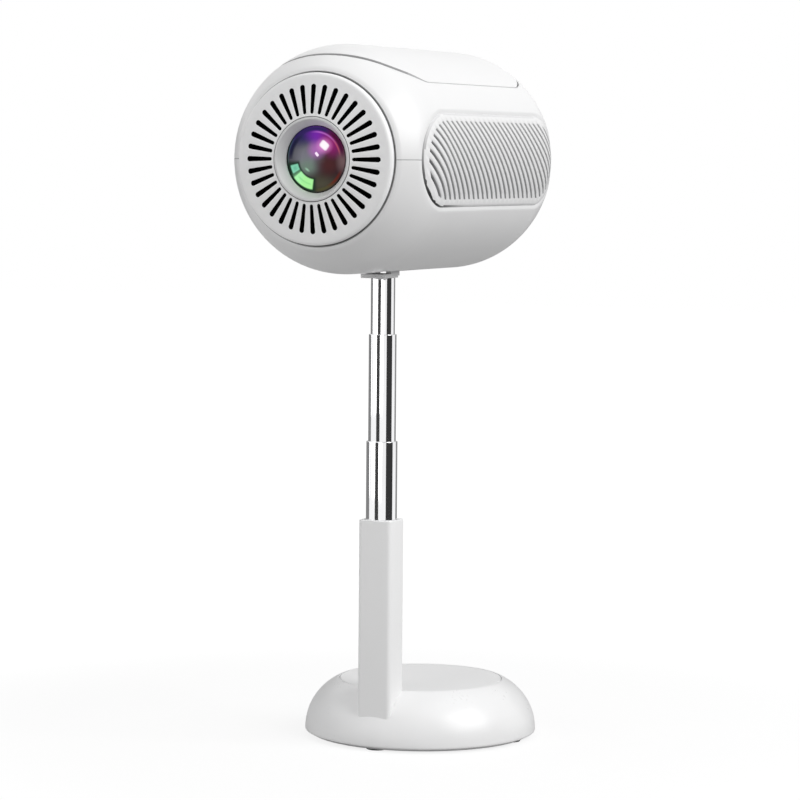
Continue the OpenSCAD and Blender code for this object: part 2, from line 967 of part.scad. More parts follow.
module fan_frame() {
  back = fan_end - fan_back;
  color([0.1, 0.1, 0.1]) {
    difference() {
      block(fan_w, sink_end, fan_end, -fan_w / 2, fan_w / 2);
      disc(fan_hole_r, sink_end - cut, fan_end + cut);
      for (sx = [-1, 1], sh = [-1, 1])
        bar(fan_screw_r, sx * fan_screw_at, sh * fan_screw_at, sink_end - cut, fan_end + cut);
    }
    disc(fan_hub_r, back, fan_end);
    block(2 * fan_hole_r + cut, back, fan_end, -fan_strut_w / 2, fan_strut_w / 2);
    block(fan_strut_w, back, fan_end, -fan_hole_r - cut / 2, fan_hole_r + cut / 2);
    disc(fan_axle_r, sink_end + 2 * fan_rotor_gap + rotor_cap, fan_end);
  }
}

module fan_rotor() {
  start = sink_end + fan_rotor_gap;
  end = fan_end - fan_back - fan_rotor_gap;
  tip = fan_hole_r - fan_tip_gap;
  color([0.16, 0.16, 0.17]) difference() {
    union() {
      disc(fan_hub_r, start, end);
      intersection() {
        disc(tip, start, end);
        for (k = [0 : fan_blades - 1]) on_axis() rotate(k * 360 / fan_blades)
          translate([0, 0, (start + end) / 2]) rotate([blade_pitch, 0, 0])
            translate([fan_hub_r - cut, -fan_hub_r / 2, -blade_t / 2])
              cube([fan_hole_r, fan_hub_r, blade_t]);
      }
    }
    disc(fan_axle_r + slide_fit, start + rotor_cap, end + cut);
  }
}

// Electronics and rear

module main_board() {
  color([0.1, 0.35, 0.2]) block(board_w, board_start, board_end, board_top - board_t, board_top);
}

// A socket shell on the board with a tongue inside, its mouth facing back.
module socket(w, h, x) {
  back = port_face - port_depth;
  inside = back + port_back;
  middle = board_top + h / 2;
  difference() {
    block(w, back, port_face, board_top, board_top + h, x);
    block(w - 2 * port_wall, inside, port_face + cut,
      board_top + port_wall, board_top + h - port_wall, x);
  }
  block(tongue_share * w, inside - cut, port_face - tongue_back,
    middle - tongue_t / 2, middle + tongue_t / 2, x);
}

module video_port() {
  color([0.75, 0.75, 0.76]) socket(video_w, video_h, video_x);
}

module usb_port() {
  color([0.75, 0.75, 0.76]) socket(usb_w, usb_h, usb_x);
}

// A round socket: a block on the board with a nose that reaches the rear face.
module round_socket(w, x, nose_r, bore_r, bore_len) {
  axis = board_top + w / 2;
  difference() {
    union() {
      block(w, port_face - port_depth, jack_body_end, board_top, board_top + w, x);
      bar(nose_r, x, axis, jack_body_end - cut, port_face);
    }
    bar(bore_r, x, axis, port_face - bore_len, port_face + cut);
  }
}

module sound_jack() {
  color([0.12, 0.12, 0.12]) round_socket(jack_w, jack_x, jack_r, jack_bore_r, jack_bore_len);
}

module power_jack() {
  axis = board_top + power_w / 2;
  color([0.12, 0.12, 0.12]) {
    round_socket(power_w, power_x, power_r, power_bore_r, power_bore_len);
    bar(power_pin_r, power_x, axis, port_face - power_bore_len - cut, port_face - cut);
  }
}

module port_hole(w, h, x) {
  block(w + 2 * port_gap, rear_in - cut, body_len + cut,
    board_top - port_gap, board_top + h + port_gap, x);
}

module rear_cover() {
  color([0.8, 0.8, 0.81]) difference() {
    disc(disc_r, rear_in, body_len);
    radial_slots(vent_slots, vent_w, vent_w, vent_in, vent_out, rear_in - cut, body_len + cut);
    port_hole(video_w, video_h, video_x);
    port_hole(usb_w, usb_h, usb_x);
    bar(jack_r + port_gap, jack_x, board_top + jack_w / 2, rear_in - cut, body_len + cut);
    bar(power_r + port_gap, power_x, board_top + power_w / 2, rear_in - cut, body_len + cut);
    bar(button_r + slide_fit, 0, button_h, rear_in - cut, body_len + cut);
    bar(window_r, window_x, window_h, rear_in - cut, body_len + cut);
  }
}

module ir_window() {
  color([0.1, 0.03, 0.05]) bar(window_r, window_x, window_h, rear_in, body_len);
}

module power_button() {
  flange_end = rear_in - button_gap;
  color([0.7, 0.7, 0.71]) {
    bar(button_r, 0, button_h, flange_end - button_flange_t, body_len + button_proud);
    bar(button_flange_r, 0, button_h, flange_end - button_flange_t, flange_end);
  }
}

module speaker() {
  intersection() {
    barrel(shell_wall + panel_flange_t);
    head_frame() translate([speaker_x, speaker_t, 0]) rotate([0, 90, 0]) {
      cylinder(r = speaker_r, h = body_r);
      translate([0, 0, -magnet_t]) cylinder(r = magnet_r, h = magnet_t + cut);
    }
  }
}

module speaker_right() {
  color([0.14, 0.14, 0.15]) speaker();
}

module speaker_left() {
  color([0.14, 0.14, 0.15]) mirror([1, 0, 0]) speaker();
}

base_shell();
base_top_plate();
base_weight();
base_bottom_plate();
feet();
base_screws();
post();
post_collar();
post_screws();
tube_lower();
bush_lower();
tube_middle();
bush_middle();
tube_upper();
bush_upper();
tilt_bracket();
tilt_pin();
tilt_washers();
upper_shell();
lower_shell();
top_lid();
side_panel_left();
side_panel_right();
shell_screws();
front_grille();
dust_filter();
focus_ring();
focus_sleeve();
lens_cell();
front_lens();
rear_lens();
optical_housing();
lcd_panel();
field_lens();
condenser_lens();
lamp_board();
lamp();
heat_sink();
fan_frame();
fan_rotor();
main_board();
video_port();
usb_port();
sound_jack();
power_jack();
rear_cover();
ir_window();
power_button();
speaker_left();
speaker_right();
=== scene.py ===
# %% [markdown]
# # A desk projector on a telescoping pole
# The object is a small video projector. A white barrel with a lens in front sits on a chrome pole
# of three tubes, and the pole stands in a post on a weighted round base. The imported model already
# gives every piece its place, so the first step is to load it. All that follows is fitted to it.

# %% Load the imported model
import json
import math

import bmesh
import bpy
import numpy as np
from mathutils import Euler, Matrix, Vector


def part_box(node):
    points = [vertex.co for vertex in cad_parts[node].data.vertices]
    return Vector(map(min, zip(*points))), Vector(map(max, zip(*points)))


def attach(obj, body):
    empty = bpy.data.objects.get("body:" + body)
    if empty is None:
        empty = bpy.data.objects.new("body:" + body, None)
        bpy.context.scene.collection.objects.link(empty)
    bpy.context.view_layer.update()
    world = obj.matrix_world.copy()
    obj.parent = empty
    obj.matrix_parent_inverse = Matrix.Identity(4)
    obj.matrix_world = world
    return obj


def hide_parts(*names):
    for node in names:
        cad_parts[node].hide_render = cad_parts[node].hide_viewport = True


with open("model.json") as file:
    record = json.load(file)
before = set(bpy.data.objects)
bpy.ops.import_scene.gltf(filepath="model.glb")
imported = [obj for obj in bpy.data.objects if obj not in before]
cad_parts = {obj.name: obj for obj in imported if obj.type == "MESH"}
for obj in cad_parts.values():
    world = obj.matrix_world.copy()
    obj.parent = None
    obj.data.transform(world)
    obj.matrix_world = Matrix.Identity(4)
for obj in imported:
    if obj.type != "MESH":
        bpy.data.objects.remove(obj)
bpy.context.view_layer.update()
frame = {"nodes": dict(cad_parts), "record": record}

NODES = frame["nodes"]
scene = bpy.context.scene

# %% [markdown]
# The barrel, the pole and the base each have an axis of their own. They could be typed in, but
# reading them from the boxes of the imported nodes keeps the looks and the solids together.
# Shapes are worked out in millimetres, and a few small functions turn them into metres in place.

# %% The axes of the head, the pole and the base
MM = 0.001
DISC_T = 2.6


def span(node, axis):
    """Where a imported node's box begins and ends along an axis, in millimetres."""
    return [getattr(corner, axis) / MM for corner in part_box(node)]


def middle(node):
    """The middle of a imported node's box, in millimetres."""
    low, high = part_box(node)
    return np.array((low + high) / 2) / MM


FRONT_Y = span("front_grille", "y")[1] - DISC_T
AXIS_Z = middle("front_grille")[2]
POLE_Y = middle("tube_upper")[1]
BASE_Y = middle("base_shell")[1]


def placed(x, y, z):
    """Coordinates in millimetres, of any shapes that go together, as an array of points in metres."""
    return np.stack(np.broadcast_arrays(x, y, z), axis=-1).astype(float) * MM


def in_head(x, t, h):
    """x to the right, t back from the front face and h up from the optical axis."""
    return placed(x, FRONT_Y + np.asarray(t), AXIS_Z + np.asarray(h))


def on_pole(x, y, z):
    """x and y measured from the middle of the pole, and the height above the table."""
    return placed(x, POLE_Y + np.asarray(y), z)


def on_base(x, y, z):
    """x and y measured from the middle of the round base, and the height above the table."""
    return placed(x, BASE_Y + np.asarray(y), z)


print("front face at y", round(FRONT_Y, 2), "axis at z", round(AXIS_Z, 2), "pole at y", round(POLE_Y, 2))

# %% [markdown]
# The camera comes next, because everything is judged through it. The picture was taken from the
# front right and a little above, with a long lens, so the near and far ends of the barrel differ
# only slightly in size. A small roll follows the slight lean of the pole in the picture.

# %% The camera
PICTURE_SIDE, FOCAL_PIXELS, SENSOR = 800, 3035.7, 36
CAMERA_PLACE = (0.6136, -1.2534, 0.2732)
TILT, HEADING, ROLL = math.radians(85.477), math.radians(25.6975), 0.008
camera_data = bpy.data.cameras.new("camera")
camera_data.sensor_width = SENSOR
camera_data.lens = FOCAL_PIXELS / PICTURE_SIDE * SENSOR
camera = bpy.data.objects.new("camera", camera_data)
camera.location = CAMERA_PLACE
aim = Euler((TILT, 0, HEADING)).to_matrix() @ Matrix.Rotation(ROLL, 3, "Z")
camera.rotation_euler = aim.to_euler()
scene.collection.objects.link(camera)
scene.camera = camera
scene.view_settings.view_transform = "Standard"
print("lens in mm:", round(camera_data.lens, 1))

# %% [markdown]
# Every new piece is a surface worked out on a grid: rows of points in one direction, columns in
# the other. It could be built point by point, but whole arrays are shorter and much faster. This
# class gathers such grids, joins neighbours with quads and puts them all into one mesh.

# %% From grids of points to a mesh


class Skin:
    """Gathers grids of points and makes one mesh piece of them."""

    def __init__(self):
        self.points, self.quads, self.paint, self.count = [], [], [], 0

    def grid(self, points, around=False, paint=0):
        """Adds rows by columns of points. A quad joins a point to the next one in its row, the next
        row and the next column. around joins the last column to the first. paint is a finish for
        the whole grid, one for each strip between two rows, or one for each quad."""
        rows, cols = points.shape[:2]
        row = np.arange(rows - 1)[:, None]
        col = np.arange(cols if around else cols - 1)[None, :]
        step = (col + 1) % cols
        corners = [row * cols + col, row * cols + step, (row + 1) * cols + step, (row + 1) * cols + col]
        quads = np.stack(np.broadcast_arrays(*corners), axis=-1)
        paint = np.asarray(paint)
        strips = np.broadcast_to(paint if paint.ndim == 2 else paint.reshape(-1, 1), quads.shape[:2])
        self.points.append(points.reshape(-1, 3))
        self.quads.append(quads.reshape(-1, 4) + self.count)
        self.paint.append(strips.reshape(-1))
        self.count += rows * cols
        return self

    def mesh(self, name):
        """Puts the points, the quads and their paint into a new mesh."""
        points, quads = np.concatenate(self.points), np.concatenate(self.quads)
        mesh = bpy.data.meshes.new(name)
        mesh.vertices.add(len(points))
        mesh.vertices.foreach_set("co", points.ravel())
        mesh.loops.add(quads.size)
        mesh.loops.foreach_set("vertex_index", quads.ravel().astype(np.int32))
        mesh.polygons.add(len(quads))
        mesh.polygons.foreach_set("loop_start", np.arange(0, quads.size, 4, dtype=np.int32))
        mesh.polygons.foreach_set("material_index", np.concatenate(self.paint).astype(np.int32))
        mesh.update(calc_edges=True)
        return mesh

    def piece(self, node, finishes, sharp=35):
        """Makes one piece of all the grids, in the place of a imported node."""
        return dress(node, self.mesh(node + "_skin"), finishes, sharp)


print("3 rows of 4 points give", len(Skin().grid(np.zeros((3, 4, 3))).quads[0]), "quads")

# %% [markdown]
# A mesh becomes a piece when it is welded, shaded and told where it belongs. Each new piece stands
# in the place of one imported node and rides on the same body. Bodies and slots are read from the
# record instead of being written once more.

# %% From a mesh to a piece
WELD = 0.000002
SLOT_OF = {part["node"]: part["material_slot"] for part in frame["record"]["subparts"]}
BODY_OF = {n: body for body, members in frame["record"]["behaviour"]["bodies"].items() for n in members}


def put_back(work, mesh):
    """Turns the faces outwards, writes them into the mesh and gives the number of open edges."""
    bmesh.ops.recalc_face_normals(work, faces=work.faces)
    work.to_mesh(mesh)
    open_edges = sum(not edge.is_manifold for edge in work.edges)
    work.free()
    return open_edges


def welded(mesh, flat=None):
    """Welds points that meet, and drops faces of no size or, where flat is given, joins faces that lie
    within that angle of each other. Gives the number of open edges."""
    work = bmesh.new()
    work.from_mesh(mesh)
    bmesh.ops.remove_doubles(work, verts=work.verts, dist=WELD)
    if flat is None:
        bmesh.ops.dissolve_degenerate(work, dist=WELD, edges=work.edges)
        bmesh.ops.delete(work, geom=[edge for edge in work.edges if edge.is_wire], context="EDGES")
    else:
        bmesh.ops.dissolve_limit(work, angle_limit=flat, verts=work.verts, edges=work.edges)
    return put_back(work, mesh)


def dress(node, mesh, finishes, sharp, flat=None):
    """Welds a mesh, shades it smoothly wherever two faces meet at less than the sharp angle, and makes
    an object of it with its finishes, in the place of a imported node."""
    open_edges = welded(mesh, flat)
    mesh.polygons.foreach_set("use_smooth", np.ones(len(mesh.polygons), bool))
    mesh.set_sharp_from_angle(angle=math.radians(sharp))
    for finish in finishes:
        mesh.materials.append(finish)
    made = bpy.data.objects.new(node + "_skin", mesh)
    scene.collection.objects.link(made)
    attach(made, BODY_OF[node])
    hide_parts(node)
    print(made.name, "faces", len(mesh.polygons), "open edges", open_edges)
    return made


print("points closer than", WELD / MM, "mm are welded")

# %% [markdown]
# Moulded and turned pieces have rounded corners, and a corner that is left sharp looks like a
# computer's. A bevel could round them later, but on thin lips it gets in its own way. So an outline
# is written with its corners, and this function replaces each by an arc that touches both sides.

# %% Rounded outlines and turned shapes


def rounded(corners, steps=6):
    """A closed outline from rows of (u, v, radius). The arc's middle lies on the line that halves
    the corner, and its points turn evenly from one side's touching point to the other's."""
    corners = np.asarray(corners, float)
    spot, radius = corners[:, :2], corners[:, 2:]
    back, ahead = np.roll(spot, 1, axis=0) - spot, np.roll(spot, -1, axis=0) - spot
    back = back / np.linalg.norm(back, axis=1, keepdims=True)
    ahead = ahead / np.linalg.norm(ahead, axis=1, keepdims=True)
    half = np.arccos(np.clip((back * ahead).sum(1, keepdims=True), -1, 1)) / 2
    reach = radius / np.tan(half)
    bisector = back + ahead
    length = np.linalg.norm(bisector, axis=1, keepdims=True)
    heart = spot + bisector / np.maximum(length, 1e-9) * radius / np.sin(half)
    first, last = spot + back * reach - heart, spot + ahead * reach - heart
    turn = np.maximum(np.pi - 2 * half, 1e-6)[:, :, None]
    share = np.linspace(0, 1, steps)[None, :, None]
    arc = np.sin((1 - share) * turn) * first[:, None] + np.sin(share * turn) * last[:, None]
    return (heart[:, None] + arc / np.sin(turn)).reshape(-1, 2)


def turned(outline, place, steps=128):
    """A closed outline of (radius, distance along the axis) turned once round the axis: at angle a,
    a point lies radius times sine a to one side and radius times cosine a to the other."""
    outline = np.concatenate([outline, outline[:1]])
    angle = np.linspace(0, 2 * np.pi, steps, endpoint=False)
    radius, along = outline[:, :1], outline[:, 1:]
    return place(radius * np.sin(angle), radius * np.cos(angle), along + 0 * angle)


def turned_in_head(outline, steps=128):
    """The same for a piece on the optical axis, where the distance runs back from the front."""
    return turned(outline, lambda a, b, along: in_head(a, along, b), steps)


square = [(0, 0, 1), (9, 0, 1), (9, 9, 1), (0, 9, 1)]
print("a square with rounded corners has", len(rounded(square)), "points")

# %% [markdown]
# Finishes are built from shader nodes. Writing them node by node hides what they do, so a small
# class wraps a socket and lets sums be written as sums.

# %% Shader sums in plain Python


class Value:
    """A shader socket that can stand in a sum. Each operator adds one Math node."""

    def __init__(self, finish, socket):
        self.finish, self.socket = finish, socket

    def math(self, operation, first, second=0.0, clamp=False):
        """One Math node, kept between 0 and 1 if clamp is on."""
        return self.finish.node("Math", {0: first, 1: second}, operation=operation, use_clamp=clamp)

    def __add__(self, other):
        return self.math("ADD", self, other)

    __radd__ = __add__

    def __sub__(self, other):
        return self.math("SUBTRACT", self, other)

    def __rsub__(self, other):
        return self.math("SUBTRACT", other, self)

    def __mul__(self, other):
        return self.math("MULTIPLY", self, other)

    __rmul__ = __mul__

    def __truediv__(self, other):
        return self.math("DIVIDE", self, other)


print("sockets can be added, subtracted, multiplied and divided")

# %% [markdown]
# A second class stands for a material while it is made. One of its methods adds any other node, and
# the rest are short names for what the finishes share: coordinates, noise, a mix of two colours, a
# soft limit and a bump. What changes over a surface goes only into colour, glow, roughness, metal
# and the bump.

# %% A material under construction


class Finish:
    """A material under construction, or another tree of shader nodes."""

    def __init__(self, name, tree=None):
        self.material = None
        if tree is None:
            self.material = bpy.data.materials.new(name)
            self.material.use_nodes = True
            tree = self.material.node_tree
        self.tree = tree
        self.tree.nodes.clear()

    def node(self, kind, values=None, out=0, **settings):
        """Adds a node of a kind: its settings first, then the values or links of its sockets. Gives
        back the output that is asked for."""
        made = self.tree.nodes.new("ShaderNode" + kind)
        for key, setting in settings.items():
            setattr(made, key, setting)
        for key, value in (values or {}).items():
            if isinstance(value, Value):
                self.tree.links.new(value.socket, made.inputs[key])
            else:
                made.inputs[key].default_value = value
        return Value(self, made.outputs[out]) if made.outputs else None

    def place(self, scale=(1, 1, 1), turn=(0, 0, 0), shift=(0, 0, 0)):
        """The piece's own coordinates in metres, scaled, turned and shifted."""
        spot = self.node("TexCoord", out="Object")
        return self.node("Mapping", {"Vector": spot, "Location": shift, "Rotation": turn, "Scale": scale})

    def noise(self, size, detail=2.0, stretch=(1, 1, 1)):
        """Soft random values about 0.5 whose patches are about size millimetres across."""
        values = {"Vector": self.place(stretch), "Scale": 1 / (size * MM), "Detail": detail}
        return self.node("TexNoise", values)

    def outputs(self, made, names):
        """Several outputs of one node."""
        return [Value(self, made.socket.node.outputs[name]) for name in names]

    def split(self, vector):
        """The three numbers of a vector."""
        return self.outputs(self.node("SeparateXYZ", {"Vector": vector}), "XYZ")

    def rays(self, *kinds):
        """For each kind of ray, a value that is 1 for such a ray and 0 for any other."""
        return self.outputs(self.node("LightPath"), [f"Is {kind} Ray" for kind in kinds])

    def colour(self, value):
        """A link as it is, and three numbers with a full alpha."""
        return value if isinstance(value, Value) else (*value, 1)

    def mix(self, share, first, second):
        """A colour between two, by a share from 0 to 1."""
        values = {0: share, 6: self.colour(first), 7: self.colour(second)}
        return self.node("Mix", values, out=2, data_type="RGBA")

    def limit(self, value, low, high):
        """0 below low, 1 above high, and smooth between."""
        values = {"Value": value, "From Min": low, "From Max": high}
        return self.node("MapRange", values, interpolation_type="SMOOTHSTEP", clamp=True)

    def bump(self, height, depth):
        """A normal tilted as if the surface rose by depth millimetres where height is 1."""
        return self.node("Bump", {"Height": height, "Distance": depth * MM, "Strength": 1.0})

    def done(self, **sockets):
        """Feeds the sockets of the one shader and gives back the material."""
        names = {key.replace("_", " "): value for key, value in sockets.items()}
        names["Base Color"] = self.colour(names["Base Color"])
        shader = self.node("BsdfPrincipled", names)
        self.node("OutputMaterial", {"Surface": shader})
        return self.material


def grey(level, blue=0.0):
    """A grey, or one with a little more blue in it."""
    return (level, level, level + blue)


print("a grey with a little blue:", grey(0.5, 0.01))

# %% [markdown]
# The head's shells, the base and the lid are moulded in a bright white plastic with a soft gloss.
# Up close such a moulding isn't one flat colour: it has a faint cloudiness, a very fine orange-peel
# skin and patches that are polished a little more by hands. The post is the same plastic with a
# finer, duller texture, and the end discs are a light grey one with a spark-eroded grain. Gaps and
# slots are painted darker than their plastic, because so little light finds its way into them.

# %% White and grey plastics


def moulded(name, colour, shade, roughness, grain, depth, gloss=0.5):
    """Plastic whose colour drifts between two close tones. Its grain has a size and a depth in
    millimetres, and the roughness wavers a little with the clouds and the grain."""
    f = Finish(name)
    clouds, skin = f.noise(30, 3.0), f.noise(grain)
    return f.done(
        Base_Color=f.mix(clouds, shade, colour),
        Roughness=roughness + 0.1 * (clouds - 0.5) + 0.06 * (skin - 0.5),
        Normal=f.bump(skin, depth),
        Specular_IOR_Level=gloss,
    )


SHELL_WHITE = moulded("shell_white", grey(0.875), grey(0.855, 0.005), 0.34, 1.1, 0.006)
POST_WHITE = moulded("post_white", grey(0.95), grey(0.935, 0.002), 0.42, 0.6, 0.008)
BASE_WHITE = moulded("base_white", grey(0.95), grey(0.93, 0.005), 0.3, 1.2, 0.005)
DISC_GREY = moulded("disc_grey", grey(0.96, 0.002), grey(0.935, 0.003), 0.5, 0.4, 0.01)
# The ring's white is set darker, as painted shade for its cone inside the opening.
RING_SHADED_WHITE = moulded("ring_shaded_white", grey(0.74), grey(0.72, 0.005), 0.4, 0.5, 0.006)
PLATE_GREY = moulded("plate_grey", grey(0.72, 0.005), grey(0.7, 0.005), 0.38, 0.5, 0.008)
BLACK_PLASTIC = moulded("black_plastic", grey(0.02, 0.001), grey(0.014, 0.001), 0.5, 0.5, 0.01)
# Painted shade: the walls deep in the grille's slots are painted black.
SLOT_WALL_SHADE = moulded("slot_wall_shade", grey(0.006), grey(0.004), 0.7, 0.5, 0.01, 0.0)
GAP_SHADE = moulded("gap_shade", grey(0.05, 0.002), grey(0.04, 0.002), 0.6, 0.5, 0.008, 0.1)
GROOVE_SHADE = moulded("groove_shade", grey(0.42, 0.004), grey(0.38, 0.004), 0.6, 0.5, 0.008, 0.1)
SLOT_SHADE = moulded("slot_shade", grey(0.5, 0.005), grey(0.45, 0.005), 0.5, 0.5, 0.008, 0.2)


def gap_paint(name):
    """The shadow in the gap round a side panel: dark at the front end and below, and fading to a light
    grey toward the top and the back, where the light falls straight into it."""
    f = Finish(name)
    _, y, z = f.split(f.place(shift=(0, -FRONT_Y * MM, -AXIS_Z * MM)))
    front, below = 1 - f.limit(y, 20 * MM, 60 * MM), 1 - f.limit(z, -16 * MM, 20 * MM)
    clouds = f.noise(2)
    light = f.mix(clouds, grey(0.74, 0.005), grey(0.8, 0.005))
    return f.done(
        Base_Color=f.mix(front * below, light, grey(0.05, 0.002)),
        Roughness=0.55 + 0.1 * clouds,
        Specular_IOR_Level=0.1,
    )


RIM_SHADE = gap_paint("rim_shade")
print("plastics:", SHELL_WHITE.name, POST_WHITE.name, DISC_GREY.name, BLACK_PLASTIC.name)

# %% [markdown]
# The pole is drawn tube with a bright chrome plate. A perfect mirror would do from afar, but drawing
# leaves the faintest lines along the tube, and the slides leave fine rubbing marks. So the noise is
# stretched along the height. The other metals are duller and have coarser marks.

# %% Metals
ALONG_Z, ALONG_X, ALL_WAYS = (1, 1, 0.004), (0.05, 1, 1), (1, 1, 1)


def plated(name, colour, shade, roughness, spread, size, stretch, depth):
    """Metal whose fine marks are noise stretched along one direction, of a size and depth in mm."""
    f = Finish(name)
    marks, dull = f.noise(size, 3.0, stretch), f.noise(20)
    return f.done(
        Base_Color=f.mix(dull, shade, colour),
        Metallic=1.0,
        Roughness=roughness + spread * marks + 0.5 * spread * dull,
        Normal=f.bump(marks, depth),
    )


CHROME = plated("chrome", grey(0.9, 0.01), grey(0.86, 0.01), 0.02, 0.04, 0.7, ALONG_Z, 0.0003)
STEEL = plated("steel", grey(0.62, 0.01), grey(0.55, 0.01), 0.28, 0.15, 1.0, ALL_WAYS, 0.004)
ALUMINIUM = plated("aluminium", (0.75, 0.76, 0.78), (0.68, 0.69, 0.71), 0.3, 0.15, 0.6, ALONG_Z, 0.005)
TINNED = plated("tinned", grey(0.72), grey(0.64, 0.01), 0.22, 0.15, 0.8, ALONG_X, 0.004)
print("metals:", CHROME.name, STEEL.name, ALUMINIUM.name, TINNED.name)

# %% [markdown]
# The front lens is coated glass. In the picture it is a dark glass with a grey veil at the left, a
# violet and blue crescent along its top, magenta at the upper right with a thin bright arc in it,
# a dark red at the right, and two green patches at the lower left that are the mirror of a window.
# A real coating would need that very room round it. So these coloured reflections, and two white
# highlights, are painted by place on the glass as glow, as seen through the opening of the ring.
# The black holder round the lens gets the same painted reflections.

# %% Lens glass
OPEN_R, OPEN_T, VIEW_ANGLE = 14.9, -1.1, math.radians(27.3)


def painted_reflection_glass(name, gloss):
    """Dark glass with painted reflections and highlights as glow. u and v run from -1 to 1 over the
    opening: u is the distance to the right, seen at an angle from the right, and v the distance up."""
    f = Finish(name)
    x, y, z = f.split(f.place(shift=(0, -(FRONT_Y + OPEN_T) * MM, -AXIS_Z * MM)))
    u, v = (x + math.tan(VIEW_ANGLE) * y) / (OPEN_R * MM), z / (OPEN_R * MM)
    radius = u.math("SQRT", u * u + v * v)
    heading = v.math("ARCTAN2", v, u) * (180 / math.pi)
    ripple = f.noise(4)

    def squares(mid_u, mid_v, wide, tall, lean=0):
        """The squares of the ways from a middle, along and across a lean, in half widths and heights."""
        c, s = math.cos(math.radians(lean)), math.sin(math.radians(lean))
        du, dv = u - mid_u, v - mid_v
        a, b = (c * du + s * dv) / wide, (c * dv - s * du) / tall
        return a * a, b * b

    def spot(*form):
        """1 at the middle of an ellipse, fading to 0 at its edge."""
        a, b = squares(*form)
        near = a.math("SUBTRACT", 1.0, a + b, clamp=True)
        return near * near

    def pane(*form):
        """The shape of a painted highlight: like a spot, with straighter and sharper edges, because the
        squares are squared again.
        """
        a, b = squares(*form)
        return 1 - f.limit(a * a + b * b, 0.02, 1.5)

    def band(value, low, high, soft):
        """1 between low and high, with soft edges."""
        return f.limit(value, low - soft, low + soft) * (1 - f.limit(value, high - soft, high + soft))

    def segment(r_from, r_to, a_from, a_to, soft=0.03, soft_turn=4):
        """1 between two radii and two directions in degrees."""
        return band(radius, r_from, r_to, soft) * band(heading, a_from, a_to, soft_turn)

    reflection_layers = [
        (spot(-0.32, 0.04, 0.85, 0.8), (0.17, 0.17, 0.2)),
        (0.8 * spot(-0.28, -0.24, 0.5, 0.36), (0.15, 0.23, 0.17)),
        (spot(0.18, -0.74, 0.85, 0.55), (0.065, 0.06, 0.04)),
        (spot(0.44, -0.16, 0.62, 0.55), (0.062, 0.016, 0.017)),
        (0.9 * spot(0.9, -0.02, 0.3, 0.55), (0.16, 0.095, 0.1)),
        (spot(-0.3, 0.74, 0.75, 0.42, 25), (0.03, 0.022, 0.11)),
        (spot(0.1, 0.68, 0.6, 0.46, -15), (0.17, 0.02, 0.38)),
        (spot(0.5, 0.46, 0.5, 0.6, 45), (0.25, 0.012, 0.14)),
        (0.85 * spot(0.02, 0.28, 0.4, 0.36), (0.42, 0.13, 0.47)),
        (segment(0.85, 0.96, 60, 165, 0.04, 12), (0.03, 0.017, 0.1)),
        (segment(0.85, 0.96, 8, 60, 0.04, 14), (0.06, 0.004, 0.03)),
        (0.75 * segment(0.79, 0.82, 42, 92, 0.03, 14), (0.62, 0.2, 0.68)),
        (0.75 * segment(0.79, 0.82, 14, 42, 0.03, 10), (0.62, 0.12, 0.15)),
        (segment(0.78, 0.9, 130, 179, 0.05, 14), (0.014, 0.015, 0.04)),
        (0.8 * segment(0.91, 0.98, 145, 179, 0.02, 10), (0.05, 0.1, 0.11)),
        (0.8 * segment(0.91, 0.98, -180, -165, 0.02, 5), (0.05, 0.12, 0.11)),
        (0.9 * segment(0.86, 0.93, -60, -26, 0.05, 12), (0.14, 0.016, 0.008)),
        (0.8 * segment(0.88, 0.94, -90, -56, 0.04, 12), (0.085, 0.08, 0.028)),
        (segment(0.55, 0.97, -174, -90, 0.04, 6), (0.012, 0.03, 0.018)),
        (segment(0.61, 0.86, -167, -150, 0.025, 2.2), (0.22, 0.62, 0.42)),
        (0.7 * segment(0.68, 0.79, -163, -154, 0.05, 3), (0.13, 0.45, 0.3)),
        (segment(0.6, 0.9, -143, -97, 0.025, 2.2), (0.4, 0.9, 0.34)),
        (0.5 * segment(0.6, 0.9, -146, -128, 0.03, 10), (0.4, 0.92, 0.5)),
        (0.6 * segment(0.74, 0.78, -137, -102, 0.03, 4), (0.22, 0.66, 0.24)),
        (0.8 * spot(-0.28, -0.31, 0.13, 0.05, -35), (0.35, 0.6, 0.42)),
        (0.7 * spot(0.28, 0.4, 0.34, 0.3), (0.9, 0.3, 0.75)),
        (pane(0.28, 0.41, 0.15, 0.12, -38), (1.0, 0.93, 1.0)),
        (pane(0.035, 0.145, 0.075, 0.045, -50), (1.0, 0.82, 1.0)),
    ]
    black = grey(0.004, 0.001)
    colour = f.mix(ripple, grey(0.012, 0.004), (0.018, 0.017, 0.022))
    for share, tint in reflection_layers:
        colour = f.mix(share, colour, tint)
    # The painted reflections and highlights are given as glow, so the glass glows though it is no lamp.
    return f.done(
        Base_Color=black,
        Emission_Color=f.mix(f.limit(radius, 0.95, 1.0), colour, black),
        Emission_Strength=1.0,
        Roughness=0.03 + 0.02 * ripple,
        Specular_IOR_Level=gloss,
    )


# Both finishes carry the painted reflections and highlights: one on the lens, one on its holder.
LENS_GLASS = painted_reflection_glass("painted_reflection_glass", 0.05)
HOLDER_REFLECTIONS = painted_reflection_glass("holder_painted_reflections", 0.1)
print("lens finishes:", LENS_GLASS.name, HOLDER_REFLECTIONS.name)

# %% [markdown]
# The other finishes are for small or inner pieces: rubber feet, foam, the boards with their copper
# tracks, the picture panel with its fine grid, the yellow lamp and the dark remote window. A plain
# colour would do while the case is shut. Each still has a grain or a pattern of its own, so that it
# reads as a material when the case is opened.

# %% Rubber, foam, boards and small parts


def grainy(name, colour, shade, roughness, size, depth, gloss=0.5):
    """A rough surface: cells of a size in millimetres darken the colour and raise the surface."""
    f = Finish(name)
    cells = f.node("TexVoronoi", {"Vector": f.place(), "Scale": 1 / (size * MM)})
    return f.done(
        Base_Color=f.mix(cells, shade, colour),
        Roughness=roughness + 0.1 * cells,
        Normal=f.bump(cells, depth),
        Specular_IOR_Level=gloss,
    )


